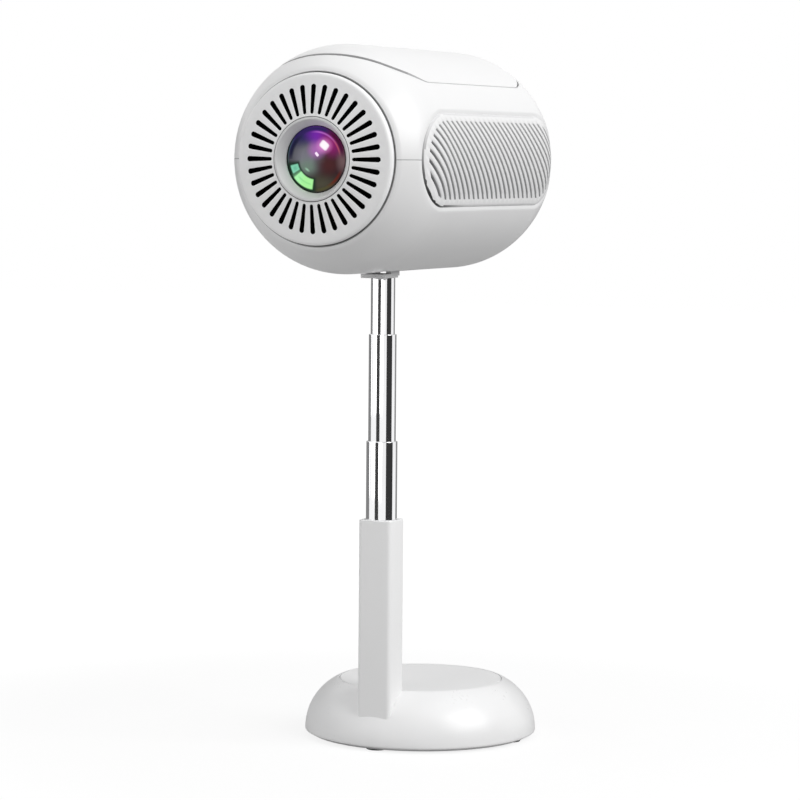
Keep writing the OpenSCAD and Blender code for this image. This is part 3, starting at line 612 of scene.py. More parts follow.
def tracked(name, field, track, size, roughness):
    """A board or panel: a brick pattern of lines in one colour over a field of another."""
    f = Finish(name)
    upright = f.place(turn=(math.pi / 2, 0, 0))
    values = {"Vector": upright, "Scale": 1 / (size * MM), "Mortar Size": 0.03}
    lines, tint = f.node("TexBrick", values, out="Fac"), f.noise(6)
    return f.done(
        Base_Color=f.mix(lines, f.mix(tint, field, [0.7 * c for c in field]), track),
        Metallic=0.4 * lines,
        Roughness=roughness + 0.1 * tint,
        Normal=f.bump(lines, 0.02),
    )


def clear(name, tint):
    """Clear moulded glass or plastic with a faint waviness."""
    f = Finish(name)
    wave = f.noise(8)
    return f.done(
        Base_Color=f.mix(wave, tint, (0.96, 0.97, 0.98)),
        Roughness=0.02 + 0.04 * wave,
        Transmission_Weight=0.9,
        IOR=1.5,
    )


RUBBER = grainy("rubber", grey(0.1, 0.005), grey(0.06, 0.003), 0.7, 0.5, 0.04)
FOAM = grainy("foam", grey(0.012), grey(0.004), 0.85, 0.9, 0.3, 0.0)
LAMP = grainy("lamp_phosphor", (0.85, 0.66, 0.1), (0.7, 0.5, 0.06), 0.5, 0.6, 0.05)
DARK_WINDOW = moulded("dark_window", (0.03, 0.004, 0.008), (0.02, 0.003, 0.005), 0.08, 2.0, 0.004)
BRACKET = moulded("bracket_grey", grey(0.76, 0.005), grey(0.72, 0.005), 0.36, 0.6, 0.008)
BOARD = tracked("board", (0.02, 0.16, 0.06), (0.55, 0.36, 0.16), 4, 0.35)
PANEL = tracked("picture_panel", (0.04, 0.05, 0.07), grey(0.01, 0.002), 0.6, 0.15)
CLEAR = clear("clear_plate", (0.9, 0.93, 0.95))
BY_SLOT = {
    "white_gloss": SHELL_WHITE, "white_matt": POST_WHITE, "grey_matt": DISC_GREY,
    "black_plastic": BLACK_PLASTIC, "chrome": CHROME, "steel": STEEL, "bracket_grey": BRACKET,
    "rubber": RUBBER, "lens_glass": LENS_GLASS, "clear_plate": CLEAR, "picture_panel": PANEL,
    "board_green": BOARD, "lamp_yellow": LAMP, "aluminium": ALUMINIUM, "tinned": TINNED,
    "filter_black": FOAM, "ir_dark": DARK_WINDOW,
}
# The black lens holder is given the glass's painted reflections instead of a black finish.
for node, piece in NODES.items():
    piece.data.materials.clear()
    piece.data.materials.append(HOLDER_REFLECTIONS if node == "lens_cell" else BY_SLOT[SLOT_OF[node]])
print("finishes given to nodes:", len(NODES), "slots:", len(BY_SLOT))

# %% [markdown]
# The barrel is one turned form. It is straight in the middle, its ends close in along a wide arc,
# and a small round leads from that arc into the end face. It could be drawn as a profile, but every
# piece of the case lies on it. So the radius at a distance from the front is a formula, which is
# the same seen from the back.

# %% The form of the barrel
BODY_LEN = span("rear_cover", "y")[1] - FRONT_Y
MIDWAY = BODY_LEN / 2
BARREL_R = span("top_lid", "z")[1] - AXIS_Z
SHOULDER_LEN, SHOULDER_R = 28.6, 40.6
DISC_LEFT, DISC_RIGHT = span("front_grille", "x")
DISC_R = (DISC_RIGHT - DISC_LEFT) / 2
LIP_R, LIP_MID, LIP_END = 4.0, DISC_R, 1.31
EDGE = np.array([0, 0.06, 0.13, 0.22, 0.35, 0.6, 1.0, 1.5, 2.0, 2.6])
NEAR = EDGE[5::-1]
TINY = 0.001


def from_end(t):
    """The distance of a station from the nearer end of the barrel."""
    return np.minimum(t, BODY_LEN - t)


def barrel_r(t):
    """The radius at a distance t from the front: the small round, then the wide arc, then straight."""
    near = from_end(t)
    small = LIP_MID + np.sqrt(np.maximum(LIP_R**2 - (LIP_R - near) ** 2, 0))
    rest = np.clip(SHOULDER_LEN - near, 0, None)
    wide = BARREL_R - SHOULDER_R + np.sqrt(SHOULDER_R**2 - rest**2)
    return np.where(near < LIP_END, small, wide)


def eased(distance, width, depth):
    """How far an edge falls away: depth at the edge itself, nothing past width, a parabola between."""
    return depth * np.clip(1 - np.abs(distance) / width, 0, 1) ** 2


def mirrored(*stations):
    """Stations of the front half and the same ones counted from the back."""
    t = np.concatenate(stations)
    return np.unique(np.round(np.concatenate([t, BODY_LEN - t]), 3))


print("barrel", round(BODY_LEN, 1), "by", round(2 * BARREL_R, 1), "mm")
print("radius at 10 mm:", barrel_r(np.array(10.0)).round(2))

# %% [markdown]
# Two outlines are let into the barrel: the long round opening of a side panel, and the lid with its
# curved ends and round corners. Boolean cuts could make them, but they leave ragged edges on a curved
# wall. A formula for the distance from each outline lets the grid follow it, and rounds its rim.

# %% The outlines of the side openings and of the lid
PILL_A, PILL_END = 21.0, 31.0
RIM_WIDTH, END_WIDTH, RIM_DEPTH, END_DEPTH = 1.5, 2.6, 0.9, 0.65
LID_HALF, LID_ARC, LID_ROUND, LID_MID = 37.6, 60.5, 21.5, 69.5
LID_HEART = math.sqrt((LID_ARC - LID_ROUND) ** 2 - (LID_HALF - LID_ROUND) ** 2)
LID_SIDE_T = LID_MID - LID_HEART - LID_ROUND / 2


def past_straight(t):
    """How far a station lies past the straight part of a side opening, with a minus at the front."""
    return t - np.clip(t, PILL_END, BODY_LEN - PILL_END)


def pill_distance(t, h, half=PILL_A):
    """How far a point of the side view lies outside a long round shape of the given half height."""
    return np.hypot(past_straight(t), h) - half


def rim_fall(t, h):
    """How far the shell falls at the opening: along the straights a chamfer, and toward the round ends a
    wider and flatter curve. The share of the end is the sine of the way from the pill's middle line."""
    off = past_straight(t)
    end = np.abs(off) / np.maximum(np.hypot(off, h), TINY)
    width = RIM_WIDTH + (END_WIDTH - RIM_WIDTH) * end
    depth = RIM_DEPTH + (END_DEPTH - RIM_DEPTH) * end
    return depth * np.clip(1 - np.maximum(pill_distance(t, h), 0) / width, 0, 1) ** (1 + end)


def lid_ahead(t):
    """How far a station lies toward the nearer end from the middle of the lid's end arc."""
    return LID_MID - from_end(t)


def lid_width(t, grow):
    """Half the width of the lid, grown by a gap: its side, then a circle that touches the side and the
    end arc, then the end arc itself."""
    ahead = lid_ahead(t)
    tip = np.sqrt(np.maximum((LID_ARC + grow) ** 2 - ahead**2, 0))
    corner = np.sqrt(np.maximum((LID_ROUND + grow) ** 2 - np.maximum(ahead - LID_HEART, 0) ** 2, 0))
    on_tip = ahead > LID_HEART * (LID_ARC + grow) / (LID_ARC - LID_ROUND)
    return np.where(on_tip, tip, LID_HALF - LID_ROUND + corner)


def lid_distance(x, t):
    """How far a point of the top view lies outside the lid: past its sides, corners or end arcs."""
    ahead, inner = lid_ahead(t), LID_HALF - LID_ROUND
    tip = np.hypot(x, ahead) - LID_ARC
    corner = np.hypot(np.maximum(np.abs(x) - inner, 0), np.maximum(ahead - LID_HEART, 0)) - LID_ROUND
    return np.where(np.abs(x) * LID_HEART < ahead * inner, tip, corner)


print("lid", round(2 * LID_HALF, 1), "wide and", round(2 * (MIDWAY - LID_MID + LID_ARC), 1), "mm long")

# %% [markdown]
# The two halves of the case meet at the height of the axis. The upper one has the shallow bed of the
# lid, the lower one the pocket of the hinge, and both end at the openings of the side panels,
# whose rims are softly rounded. A half is a loft: each station gives one row of points, which runs
# from the edge up to the middle, and the columns follow the rim, the bed and the middle line.

# %% The rows of a half
POCKET_R, POCKET_LIP, SEAT_R, SEAT_T, SEAT_BACK = DISC_R + 0.5, 0.25, DISC_R - 2.1, DISC_T, 4.6
SEAT_ROWS, END_ROWS, SIDE_COLS, BED_COLS = 3, 4, 16, 10
WALL, SEAM_WIDTH, SEAM_DEPTH, BED_DEPTH, RIM_CLEAR = 2.4, 0.2, 0.08, 1.25, 4
WHITE, GROOVE, RIM, NARROW = range(4)


def padded(values):
    """One value for each station, with the first and the last repeated for the rows of the seats."""
    return np.pad(values, SEAT_ROWS, "edge")[:, None]


def half_case(t, r, low, opening, rim):
    """The right half of a case: at each station the angle runs from the edge at height low, past the
    side of an opening, to the middle. The opening says which stations lie in it, how wide it is there
    and how high its floor lies, and its points sink to that floor. The outside is eased at its rims."""
    inside, width, floor_of = padded(opening[0]), padded(opening[1]), opening[2]
    start = np.arcsin(np.clip(low / r, -1, 1))
    side = np.arccos(np.clip(width / r, 0, 1))
    first, last = start + EDGE / r, side - NEAR / r
    share = np.linspace(0, 1, SIDE_COLS + 2)[1:-1]
    between = first[:, -1:] + share * (last[:, :1] - first[:, -1:])
    over = side + np.linspace(0, 1, BED_COLS) * (np.pi / 2 - side)
    angle = np.concatenate([first, between, last, over], axis=1)
    fall = 0.0
    if rim:
        x, h = r * np.cos(angle), r * np.sin(angle)
        fall = np.maximum(rim_fall(t, h), eased(h, SEAM_WIDTH, SEAM_DEPTH))
        fall = np.maximum(fall, rim(x, t))
    x, h = (r - fall) * np.cos(angle), (r - fall) * np.sin(angle)
    sunk = (np.arange(angle.shape[1]) >= angle.shape[1] - BED_COLS) & inside
    return x, np.where(sunk, floor_of(x, r), h)


def whole_row(x, h):
    """Both sides of a row: the right half from its edge to the middle, then the left half."""
    return np.concatenate([x, -x[:, -2::-1]], axis=1), np.concatenate([h, h[:, -2::-1]], axis=1)


def closed_rows(outside, inside):
    """Rows that run along the outside of a wall and come back along its inside."""
    return np.concatenate([outside, inside[:, ::-1]], axis=1)


print("a row of half a case has", len(EDGE) + SIDE_COLS + len(NEAR) + BED_COLS, "points")

# %% [markdown]
# The outside and the inside of a half are two such lofts over the same stations, joined at their
# edges into one closed skin. Light alone would leave the fine gaps too pale at this size. So the
# bed of the lid, the rims of the side openings and the seats of the discs get darker paint.

# %% A half of the case


def case_piece(name, up, t, opening, behind, rim):
    """Joins the outside and the inside of a half at its edges, with the seats of the end discs. opening
    is what is let into the outside, and behind is the wall that it raises on the inside."""
    seat_t = np.array([SEAT_T, SEAT_T, POCKET_LIP])
    seat_r = np.array([SEAT_R, POCKET_R, POCKET_R])
    all_t = np.concatenate([seat_t, t, BODY_LEN - seat_t[::-1]])[:, None]
    all_r = np.concatenate([seat_r, barrel_r(t), seat_r[::-1]])[:, None]
    low = np.sqrt(np.maximum(PILL_A**2 - past_straight(all_t) ** 2, 0))
    x, h = whole_row(*half_case(all_t, all_r, low, opening, rim))
    deep_t = np.clip(padded(t), SEAT_BACK, BODY_LEN - SEAT_BACK)
    deep_r = barrel_r(deep_t) - WALL
    deep_r[[1, -2]] = SEAT_R
    deep_t[[0, -1]], deep_r[[0, -1]] = all_t[[0, -1]], SEAT_R
    xi, hi = whole_row(*half_case(deep_t, deep_r, np.minimum(low, deep_r - 1), behind, None))
    points = closed_rows(in_head(x, all_t, up * h), in_head(xi, deep_t, up * hi))
    sunk = (np.hypot(x, h) < all_r - BED_DEPTH / 2) & (h > PILL_A + RIM_CLEAR) & (up > 0)
    sunk = np.concatenate([sunk, np.zeros_like(sunk)], axis=1)
    dark = sunk[1:] | sunk[:-1]
    dark = dark | np.roll(dark, -1, axis=1)
    beside_lid = from_end(all_t)[1:] > LID_SIDE_T
    paint = np.where(dark, np.where(beside_lid, NARROW, GROOVE), WHITE)
    last = x.shape[1] - 1
    edges = [*range(3), *range(last - 3, last + 1), -1]
    paint[:, edges] = np.where((low[1:] > 0) & (low[:-1] > 0), RIM, NARROW)
    paint[:END_ROWS] = paint[-END_ROWS:] = GROOVE
    finishes = [SHELL_WHITE, GROOVE_SHADE, RIM_SHADE, SLOT_SHADE]
    Skin().grid(points, around=True, paint=paint).piece(name, finishes, 40)


def from_to(t, first, last):
    """True for the stations from first to last, where each of these is there twice: once for the surface
    round an opening and once for the floor in it."""
    inside = (t > first + TINY) & (t < last - TINY)
    inside[np.searchsorted(t, first - TINY) + 1] = True
    inside[np.searchsorted(t, last - TINY)] = True
    return inside


print("the end discs sit", SEAT_T, "mm deep in pockets of radius", round(POCKET_R, 2))

# %% [markdown]
# Stations could be spread evenly, but then no row would lie on the end of an arc or on a rim, and the
# edges would look frayed. So they are gathered from all that the wall has: the small round, the wide
# arc, the side opening, and the arcs and corners of the bed, which is a little deeper than the lid.

# %% The upper half with the bed of the lid
LID_GAP, LID_TURN, CORNER_FRONT, BED_EDGE, BED_FALL = 0.5, 0.44, 14.5, 0.6, 0.5
LIP_T = LIP_R * (1 - np.cos(np.linspace(0.12, 0.833, 8)))
SHOULDER_T = np.linspace(LIP_END, SHOULDER_LEN, 18)
PILL_T = PILL_END - PILL_A * np.cos(np.linspace(0, np.pi / 2, 18))
RIM_T = PILL_END - PILL_A - EDGE
STRAIGHT_T = np.linspace(PILL_END, MIDWAY, 12)
LID_T0 = LID_MID - LID_ARC - LID_GAP
BED_T = LID_MID - (LID_ARC + LID_GAP) * np.cos(np.linspace(0, LID_TURN, 10))
CORNER_T = np.linspace(CORNER_FRONT, LID_MID - LID_HEART, 16)
case_t = mirrored(LIP_T, SHOULDER_T, PILL_T, RIM_T, STRAIGHT_T, BED_T, CORNER_T, LID_T0 - NEAR)
bed_t = np.sort(np.concatenate([case_t, [LID_T0, BODY_LEN - LID_T0]]))
bed_half = np.where(from_end(bed_t) < LID_T0 - TINY, 0, lid_width(bed_t, LID_GAP))


def bed_floor(x, r):
    """The height of the bed: a circle that is smaller than the barrel's by the depth of the bed."""
    return np.sqrt(np.maximum((r - BED_DEPTH) ** 2 - x**2, 0))


def bed_rim(x, t):
    """How far the edge of the bed falls, by the distance from the lid's gap."""
    return eased(np.maximum(lid_distance(x, t) - LID_GAP, 0), BED_EDGE, BED_FALL)


bed = (from_to(bed_t, LID_T0, BODY_LEN - LID_T0), bed_half, bed_floor)
no_wall = (np.zeros(len(bed_t), bool), bed_half, bed_floor)
case_piece("upper_shell", 1, bed_t, bed, no_wall, bed_rim)

# %% [markdown]
# The lower half is the same loft upside down. Instead of a bed it has a square pocket for the hinge,
# with walls of its own that stand up inside the case.

# %% The lower half with the pocket of the hinge
HINGE_FRONT, HINGE_BACK, HINGE_HALF, HINGE_ROOF, HINGE_WALL = 50.2, 80.2, 8.7, 37.4, 1.6
CLEAR_FRONT, CLEAR_BACK = 48, 83
walls = np.array([HINGE_FRONT] * 2 + [HINGE_BACK] * 2)
backs = walls + HINGE_WALL * np.array([-1, -1, 1, 1])
away_t = case_t[(case_t < CLEAR_FRONT) | (case_t > CLEAR_BACK)]
low_t = np.sort(np.concatenate([away_t, np.linspace(52, 79, 5), walls, backs]))


def pocket_of(places, grow):
    """The pocket between the first and the last of the places, its half width and its floor, both grown
    by the thickness of a wall."""
    half = np.full(len(low_t), HINGE_HALF + grow)
    return from_to(low_t, places[0], places[-1]), half, lambda x, r: HINGE_ROOF - grow


pocket, pocket_wall = pocket_of(walls, 0), pocket_of(backs, HINGE_WALL)
case_piece("lower_shell", -1, low_t, pocket, pocket_wall, lambda x, t: 0 * x)

# %% [markdown]
# The lid is a thin curved plate that lies flush in its bed. Its ends are arcs that run into the sides
# in wide rounds, and the gap is wide at the ends and narrow along the sides. A station near an end gives
# a short row. Each row is spread evenly, with a few more points where the edge is rounded.

# %% The lid
SIDE_GROW, TIP_GROW, GROW_LEN = 0.38, -0.8, 12
LID_THICK, LID_EDGE, LID_FALL = 1.2, 0.3, 0.25
TIP_ARC = LID_ARC + TIP_GROW
TIP_T = LID_MID - TIP_ARC * np.cos(np.linspace(0, LID_TURN, 14))
lid_t = mirrored(TIP_T, LID_MID - TIP_ARC + EDGE, CORNER_T, np.linspace(36, MIDWAY, 9))[:, None]
lid_grow = SIDE_GROW + (TIP_GROW - SIDE_GROW) * np.clip((lid_ahead(lid_t) - LID_HEART) / GROW_LEN, 0, 1)
reach = np.maximum(lid_width(lid_t, lid_grow) - NEAR[::-1], 0)
inward = reach[:, -1:] * np.linspace(1, 0, 18)[1:]
lid_x = np.concatenate([reach, inward, -inward[:, -2::-1], -reach[:, ::-1]], axis=1)
lid_r = barrel_r(lid_t)
lid_fall = eased(np.minimum(lid_distance(lid_x, lid_t) - lid_grow, 0), LID_EDGE, LID_FALL)
lid_top = np.sqrt((lid_r - lid_fall) ** 2 - lid_x**2)
lid_low = np.sqrt((lid_r - LID_THICK) ** 2 - lid_x**2)
lid_points = closed_rows(in_head(lid_x, lid_t, lid_top), in_head(lid_x, lid_t, lid_low))
edges = np.zeros((1, lid_points.shape[1]), int)
edges[:, [0, lid_x.shape[1] - 2, lid_x.shape[1] - 1, -1]] = 1
edges = edges * np.where(from_end(lid_t)[1:] > LID_SIDE_T, 2, 1)
Skin().grid(lid_points, around=True, paint=edges).piece("top_lid", [SHELL_WHITE, GROOVE_SHADE, SLOT_SHADE])

# %% [markdown]
# Each side has a long panel with rounded ends, a little below the barrel's surface. It is cut
# through by a row of narrow slots that lean at 45 degrees. Thirty cuts would be slow and untidy. On
# this grid a row is a line of that lean, so the slots are simply rows whose inner faces are left
# out. The sheet then gets its thickness from a modifier.

# %% The side panels
SLOT_FIRST, SLOT_PITCH, SLOT_COUNT = 8.593, 5.0605, 30
SLOT_HALF = 0.65 * math.sqrt(2)
PANEL_A, FIELD_A = 20.85, 17.4
PANEL_DOWN, PANEL_THICK, PANEL_EDGE, PANEL_FALL = 0.3, 2.4, 0.8, 0.5


def lean_limits(p, a):
    """Where a leaning line, along which t plus h is p, enters and leaves a long round shape of half
    height a: on its straight sides, or else on one of its end circles."""
    near, far = p - PILL_END, p - (BODY_LEN - PILL_END)
    root = lambda d: np.sqrt(np.maximum(2 * a * a - d * d, 0))
    high = np.select([near < a, far > a], [(near + root(near)) / 2, (far + root(far)) / 2], a)
    low = np.select([near < -a, far > -a], [(near - root(near)) / 2, (far - root(far)) / 2], -a)
    return low[:, None], high[:, None]


def side_panel(name, side):
    """A sheet over the panel's outline: rows of constant lean, columns from the lower rim to the
    slot field, through it, and on to the upper rim."""
    mids = SLOT_FIRST + SLOT_PITCH * np.arange(SLOT_COUNT)
    cuts = np.concatenate([mids - SLOT_HALF, mids + SLOT_HALF])
    reach = PANEL_A * math.sqrt(2)
    first, last = PILL_END - reach, BODY_LEN - PILL_END + reach
    ends = reach * (1 - np.cos(np.linspace(0, 0.5, 9)))
    p = np.unique(np.concatenate([first + ends, last - ends, cuts, mids[:-1] + SLOT_PITCH / 2]).round(4))
    (low, high), (field_low, field_high) = lean_limits(p, PANEL_A), lean_limits(p, FIELD_A)
    rim, across = np.array([0, 0.03, 0.08, 0.15, 0.3, 1]), np.linspace(0, 1, 13)
    h = np.concatenate([
        low + rim[:-1] * (field_low - low), field_low + across * (field_high - field_low),
        high - rim[-2::-1] * (high - field_high),
    ], axis=1)
    t = p[:, None] - h
    edge = np.minimum(pill_distance(t, h, PANEL_A), 0)
    x = np.sqrt((barrel_r(t) - PANEL_DOWN - eased(edge, PANEL_EDGE, PANEL_FALL)) ** 2 - h**2)
    middles = (p[1:] + p[:-1]) / 2
    slotted = (np.abs(middles[:, None] - mids).min(axis=1) < SLOT_HALF)[:, None]
    column = np.arange(h.shape[1] - 1) - (len(rim) - 1)
    kept = ~(slotted & (column >= 0) & (column < len(across) - 1)).ravel()
    rims = np.where(edge[1:, 1:] + edge[:-1, :-1] > -2 * PANEL_EDGE, 2, 0)
    skin = Skin().grid(in_head(side * x, t, h), paint=rims)
    skin.quads[0], skin.paint[0] = skin.quads[0][kept], skin.paint[0][kept]
    made = skin.piece(name, [SHELL_WHITE, SLOT_SHADE, RIM_SHADE], 40)
    facing = np.empty(3 * len(made.data.polygons))
    made.data.polygons.foreach_get("normal", facing)
    if side * facing[::3].sum() < 0:
        made.data.flip_normals()
    solid = made.modifiers.new("thickness", "SOLIDIFY")
    solid.thickness, solid.offset, solid.material_offset_rim = PANEL_THICK * MM, -1, 1


side_panel("side_panel_right", 1)
side_panel("side_panel_left", -1)

# %% [markdown]
# The front disc is a grille of narrow radial slots between a hole for the focus ring and a plain
# rim. Dark stripes painted on a disc would look flat from the side. So one slot and the wedge of disc
# around it make one patch: rows lead from the wedge's border to the edge of the slot, down its wall
# and back along the rear face.

# %% The patch round one slot
GRILLE_SLOTS = 36
IN_MID, IN_HALF, OUT_MID, OUT_HALF = 20.575, 0.675, 31.725, 1.075
GRILLE_IN, GRILLE_RIM = 18.8, SEAT_R
CROWN, CONE = -5.2, 0.125
HALF_WEDGE = math.pi / GRILLE_SLOTS
SLOT_STEPS = ((0.25, 0.0), (0.1, 0.03), (0.03, 0.1), (0, 0.25), (0, 0.45), (0, DISC_T))


def disc_face(x, h):
    """The face of the disc: a very flat cone, so its place along the axis grows with the radius."""
    return CROWN + CONE * (np.hypot(x, h) - GRILLE_IN)


def grille_patch():
    """The loops of one patch. A slot's outline is two straights and two half circles, wider at the
    outer end; the border goes with it point by point: along the wedge's sides beside the
    straights, and round its ends. A step of the slot says how far it is grown and how deep it lies."""
    n_side, n_end = 13, 8
    along = np.linspace(IN_MID, OUT_MID, n_side)
    half = np.linspace(IN_HALF, OUT_HALF, n_side)
    turn = np.linspace(0, np.pi, 2 * n_end + 1)[1:-1]
    corner = np.linspace(0, 1, n_end // 2 + 1)
    sides = np.linspace(-1, 1, n_end + 1)

    def slot(grow):
        """The slot's outline as ways across and outward, grown on all sides."""
        wide, small, large = half + grow, IN_HALF + grow, OUT_HALF + grow
        out_end, in_end = OUT_MID + large * np.sin(turn), IN_MID - small * np.sin(turn)
        v = np.concatenate([-wide, -large * np.cos(turn), wide[::-1], small * np.cos(turn)])
        return v, np.concatenate([along, out_end, along[::-1], in_end])

    def border_end(mid, limit):
        """Radii from the end of the straights to the limit, along it and back."""
        way = np.concatenate([mid + corner * (limit - mid), limit + 0 * sides[1:]])
        return np.concatenate([way, way[: len(corner) - 1][::-1]])[1:-1]

    swing = np.concatenate([-1 + 0 * corner, sides[1:], 1 + 0 * corner[1:]])[1:-1]
    ones = np.ones(n_side)
    out_end, in_end = border_end(OUT_MID, GRILLE_RIM), border_end(IN_MID, GRILLE_IN)
    radius = np.concatenate([along, out_end, along[::-1], in_end])
    angle = HALF_WEDGE * np.concatenate([-ones, swing, ones, -swing])
    border = radius * np.sin(angle), radius * np.cos(angle)
    across, outward = np.stack([border, *(slot(grow) for grow, _ in SLOT_STEPS), border], axis=1)
    deep = np.array([0.0, *(deep for _, deep in SLOT_STEPS), DISC_T])[:, None]
    return across, outward, deep + disc_face(across, outward)


across, outward, depth = grille_patch()
print("a patch has", across.shape[0], "loops of", across.shape[1], "points")

# %% [markdown]
# Turned round the axis, the patches fill a ring. The plain rim and the wall of the hole are turned
# too, with points at the angles where the patches end, so that all welds into one closed disc. The
# walls deep in the slots are painted black, as painted shade.

# %% The front grille
skin = Skin()
for turn in 2 * HALF_WEDGE * np.arange(GRILLE_SLOTS):
    x = across * math.cos(turn) + outward * math.sin(turn)
    h = outward * math.cos(turn) - across * math.sin(turn)
    skin.grid(in_head(x, depth, h), around=True, paint=[0, 0, 1, 1, 1, 1, 1])
rim_face = disc_face(GRILLE_RIM, 0)
rim = rounded([
    (GRILLE_RIM, rim_face, 0), (DISC_R, disc_face(DISC_R, 0), 1.5), (DISC_R, -0.5, 0),
    (DISC_R, DISC_T, 0.2), (GRILLE_RIM, DISC_T, 0.1), (GRILLE_RIM, rim_face + DISC_T, 0),
])
FACE_ROWS = 12
rim_paint = np.where(np.arange(len(rim) - 1) < FACE_ROWS, 0, 2)
hole = np.array([[GRILLE_IN, CROWN], [GRILLE_IN, CROWN + DISC_T]])
wall_steps = 8 * GRILLE_SLOTS
round_angle = -HALF_WEDGE + np.arange(wall_steps) * 2 * math.pi / wall_steps
for profile, paint in ((rim, rim_paint), (hole, 2)):
    r, t = profile[:, :1], profile[:, 1:]
    skin.grid(in_head(r * np.sin(round_angle), t, r * np.cos(round_angle)), around=True, paint=paint)
skin.piece("front_grille", [DISC_GREY, SLOT_WALL_SHADE, GROOVE_SHADE])

# %% [markdown]
# The focus ring is turned: a thin lip stands just proud of the disc, a cone leads in to the lens, and
# a skirt behind runs on the sleeve. The lens itself is a polished cap with a ground edge. Both are
# outlines carried round the axis, which is how the real ones are made.

# %% The focus ring and the front lens
RING_R, LIP_IN, SKIRT_IN, RING_FRONT, CONE_BACK, RING_BACK = 18.5, 17.4, 17.55, -5.5, -0.3, 14.0
ring = rounded([
    (RING_R, RING_FRONT, 0.3), (LIP_IN, RING_FRONT, 0.25), (OPEN_R, OPEN_T, 0.25), (OPEN_R, CONE_BACK, 0.1),
    (SKIRT_IN, CONE_BACK, 0.1), (SKIRT_IN, RING_BACK, 0.1), (RING_R, RING_BACK, 0.1),
])
ring_paint = np.where(np.arange(len(ring)) < len(ring) - 1, 0, 1)
skin = Skin().grid(turned_in_head(ring, 160), around=True, paint=ring_paint)
# The ring's darkened white is painted shade, and its outer wall has the painted shade of the gap.
skin.piece("focus_ring", [RING_SHADED_WHITE, GAP_SHADE])
LENS_R, CAP_R, CAP_MID, LENS_BACK = 14.2, 24.0, 22.25, 5.4
cap = np.linspace(0, math.asin(LENS_R / CAP_R), 24)[:, None]
lens_outline = np.concatenate([
    np.concatenate([CAP_R * np.sin(cap), CAP_MID - CAP_R * np.cos(cap)], axis=1),
    [[LENS_R, LENS_BACK], [0, LENS_BACK]],
])
Skin().grid(turned_in_head(lens_outline), around=True).piece("front_lens", [LENS_GLASS])

# %% [markdown]
# The pole's tubes are drawn through dies of one family: a rounded rectangle whose sides bulge a
# little. The bulge is what gives a chrome tube its soft bands, so it is kept. A section is found by
# the direction its surface faces: on a side it lies on a wide arc, at a corner on a tight one.

# %% The tubes of the pole
TUBE_W, TUBE_D, TUBE_R, TUBE_WALL, TUBE_STEP, TUBE_BOW = 10.9, 8.8, 3.3, 0.5, 0.8, 8


def sections(rows, bow_degrees, side=9, corner=9):
    """Rounded rectangles, one for each row of (width, depth, corner radius, height). The sides are
    arcs that face up to the bow angle either way, and the corner arcs take over from there."""
    w, d, r, z = [column[:, None] for column in np.asarray(rows, float).T]
    bow = math.radians(bow_degrees)
    k = math.tan(bow / 2)
    a, b = [size / 2 - k * r * math.sin(bow) - r * math.cos(bow) for size in (w, d)]
    cx, cy = (a - k * b) / (1 - k * k), (b - k * a) / (1 - k * k)
    on_arc = np.linspace(-bow, bow, side, endpoint=False)
    quarter = np.concatenate([on_arc, np.linspace(bow, np.pi / 2 - bow, corner, endpoint=False)])
    face = (np.arange(4)[:, None] * np.pi / 2 + quarter).ravel()
    on_side = np.tile(np.arange(side + corner) < side, 4)
    right_left = np.repeat([True, False, True, False], side + corner)
    c, s = np.cos(face), np.sin(face)
    wide_x, wide_y = cy / math.sin(bow) + r, cx / math.sin(bow) + r
    side_x = np.where(right_left, np.sign(c) * (w / 2 - wide_x) + wide_x * c, wide_y * c)
    side_y = np.where(right_left, wide_x * s, np.sign(s) * (d / 2 - wide_y) + wide_y * s)
    x = np.where(on_side, side_x, np.sign(c) * cx + r * c)
    y = np.where(on_side, side_y, np.sign(s) * cy + r * s)
    return on_pole(x, y, z)


def tube(name, step):
    """A tube of the given step in size: up the outside, over its rounded end and down the inside."""
    low, high = span(name, "z")
    outline = rounded([(0, low, 0.1), (0, high, 0.2), (-TUBE_WALL, high, 0.2), (-TUBE_WALL, low, 0.1)])
    out, z = np.concatenate([outline, outline[:1]]).T
    grow = TUBE_STEP * step + out
    rows = np.stack([TUBE_W + 2 * grow, TUBE_D + 2 * grow, TUBE_R + grow, z], axis=1)
    Skin().grid(sections(rows, TUBE_BOW), around=True).piece(name, [CHROME])


for step, name in enumerate(("tube_upper", "tube_middle", "tube_lower")):
    tube(name, step)

# %% [markdown]
# The post is a plain moulded tube of nearly straight sides, closed at its foot, with a thin collar
# set into its mouth. The same sections make it, with hardly any bulge: each row is one change of
# size or height on the way up the outside, over the rounded edge and down the bore.

# %% The post and its collar
POST_W, POST_D, POST_R, POST_EDGE, POST_BOW = 17, 15, 2, 0.5, 1
MOUTH, BORE, COLLAR_IN = (15.9, 13.8, 5.8), (14.7, 12.6, 5.2), (14.2, 12.1, 4.95)
post_low, post_high = span("post", "z")
mouth_z, floor_z = post_high - 3, post_low + 10
NOTHING = (0, 0, 0)
edge = POST_EDGE * (1 - np.cos(np.linspace(0, np.pi / 2, 5)))
edge_z = post_high - POST_EDGE + np.sqrt(POST_EDGE**2 - (POST_EDGE - edge) ** 2)
post_rows = [(*NOTHING, post_low), (POST_W, POST_D, POST_R, post_low)]
post_rows += [(POST_W - 2 * e, POST_D - 2 * e, POST_R - e, z) for e, z in zip(edge, edge_z)]
post_rows += [(*MOUTH, post_high), (*MOUTH, mouth_z), (*BORE, mouth_z)]
post_rows += [(*BORE, floor_z), (*NOTHING, floor_z)]
collar_rows = [(*MOUTH, mouth_z), (*MOUTH, post_high), (*COLLAR_IN, post_high)]
collar_rows += [(*COLLAR_IN, mouth_z), (*MOUTH, mouth_z)]
for name, rows, finish in (("post", post_rows, POST_WHITE), ("post_collar", collar_rows, PLATE_GREY)):
    Skin().grid(sections(rows, POST_BOW), around=True).piece(name, [finish])

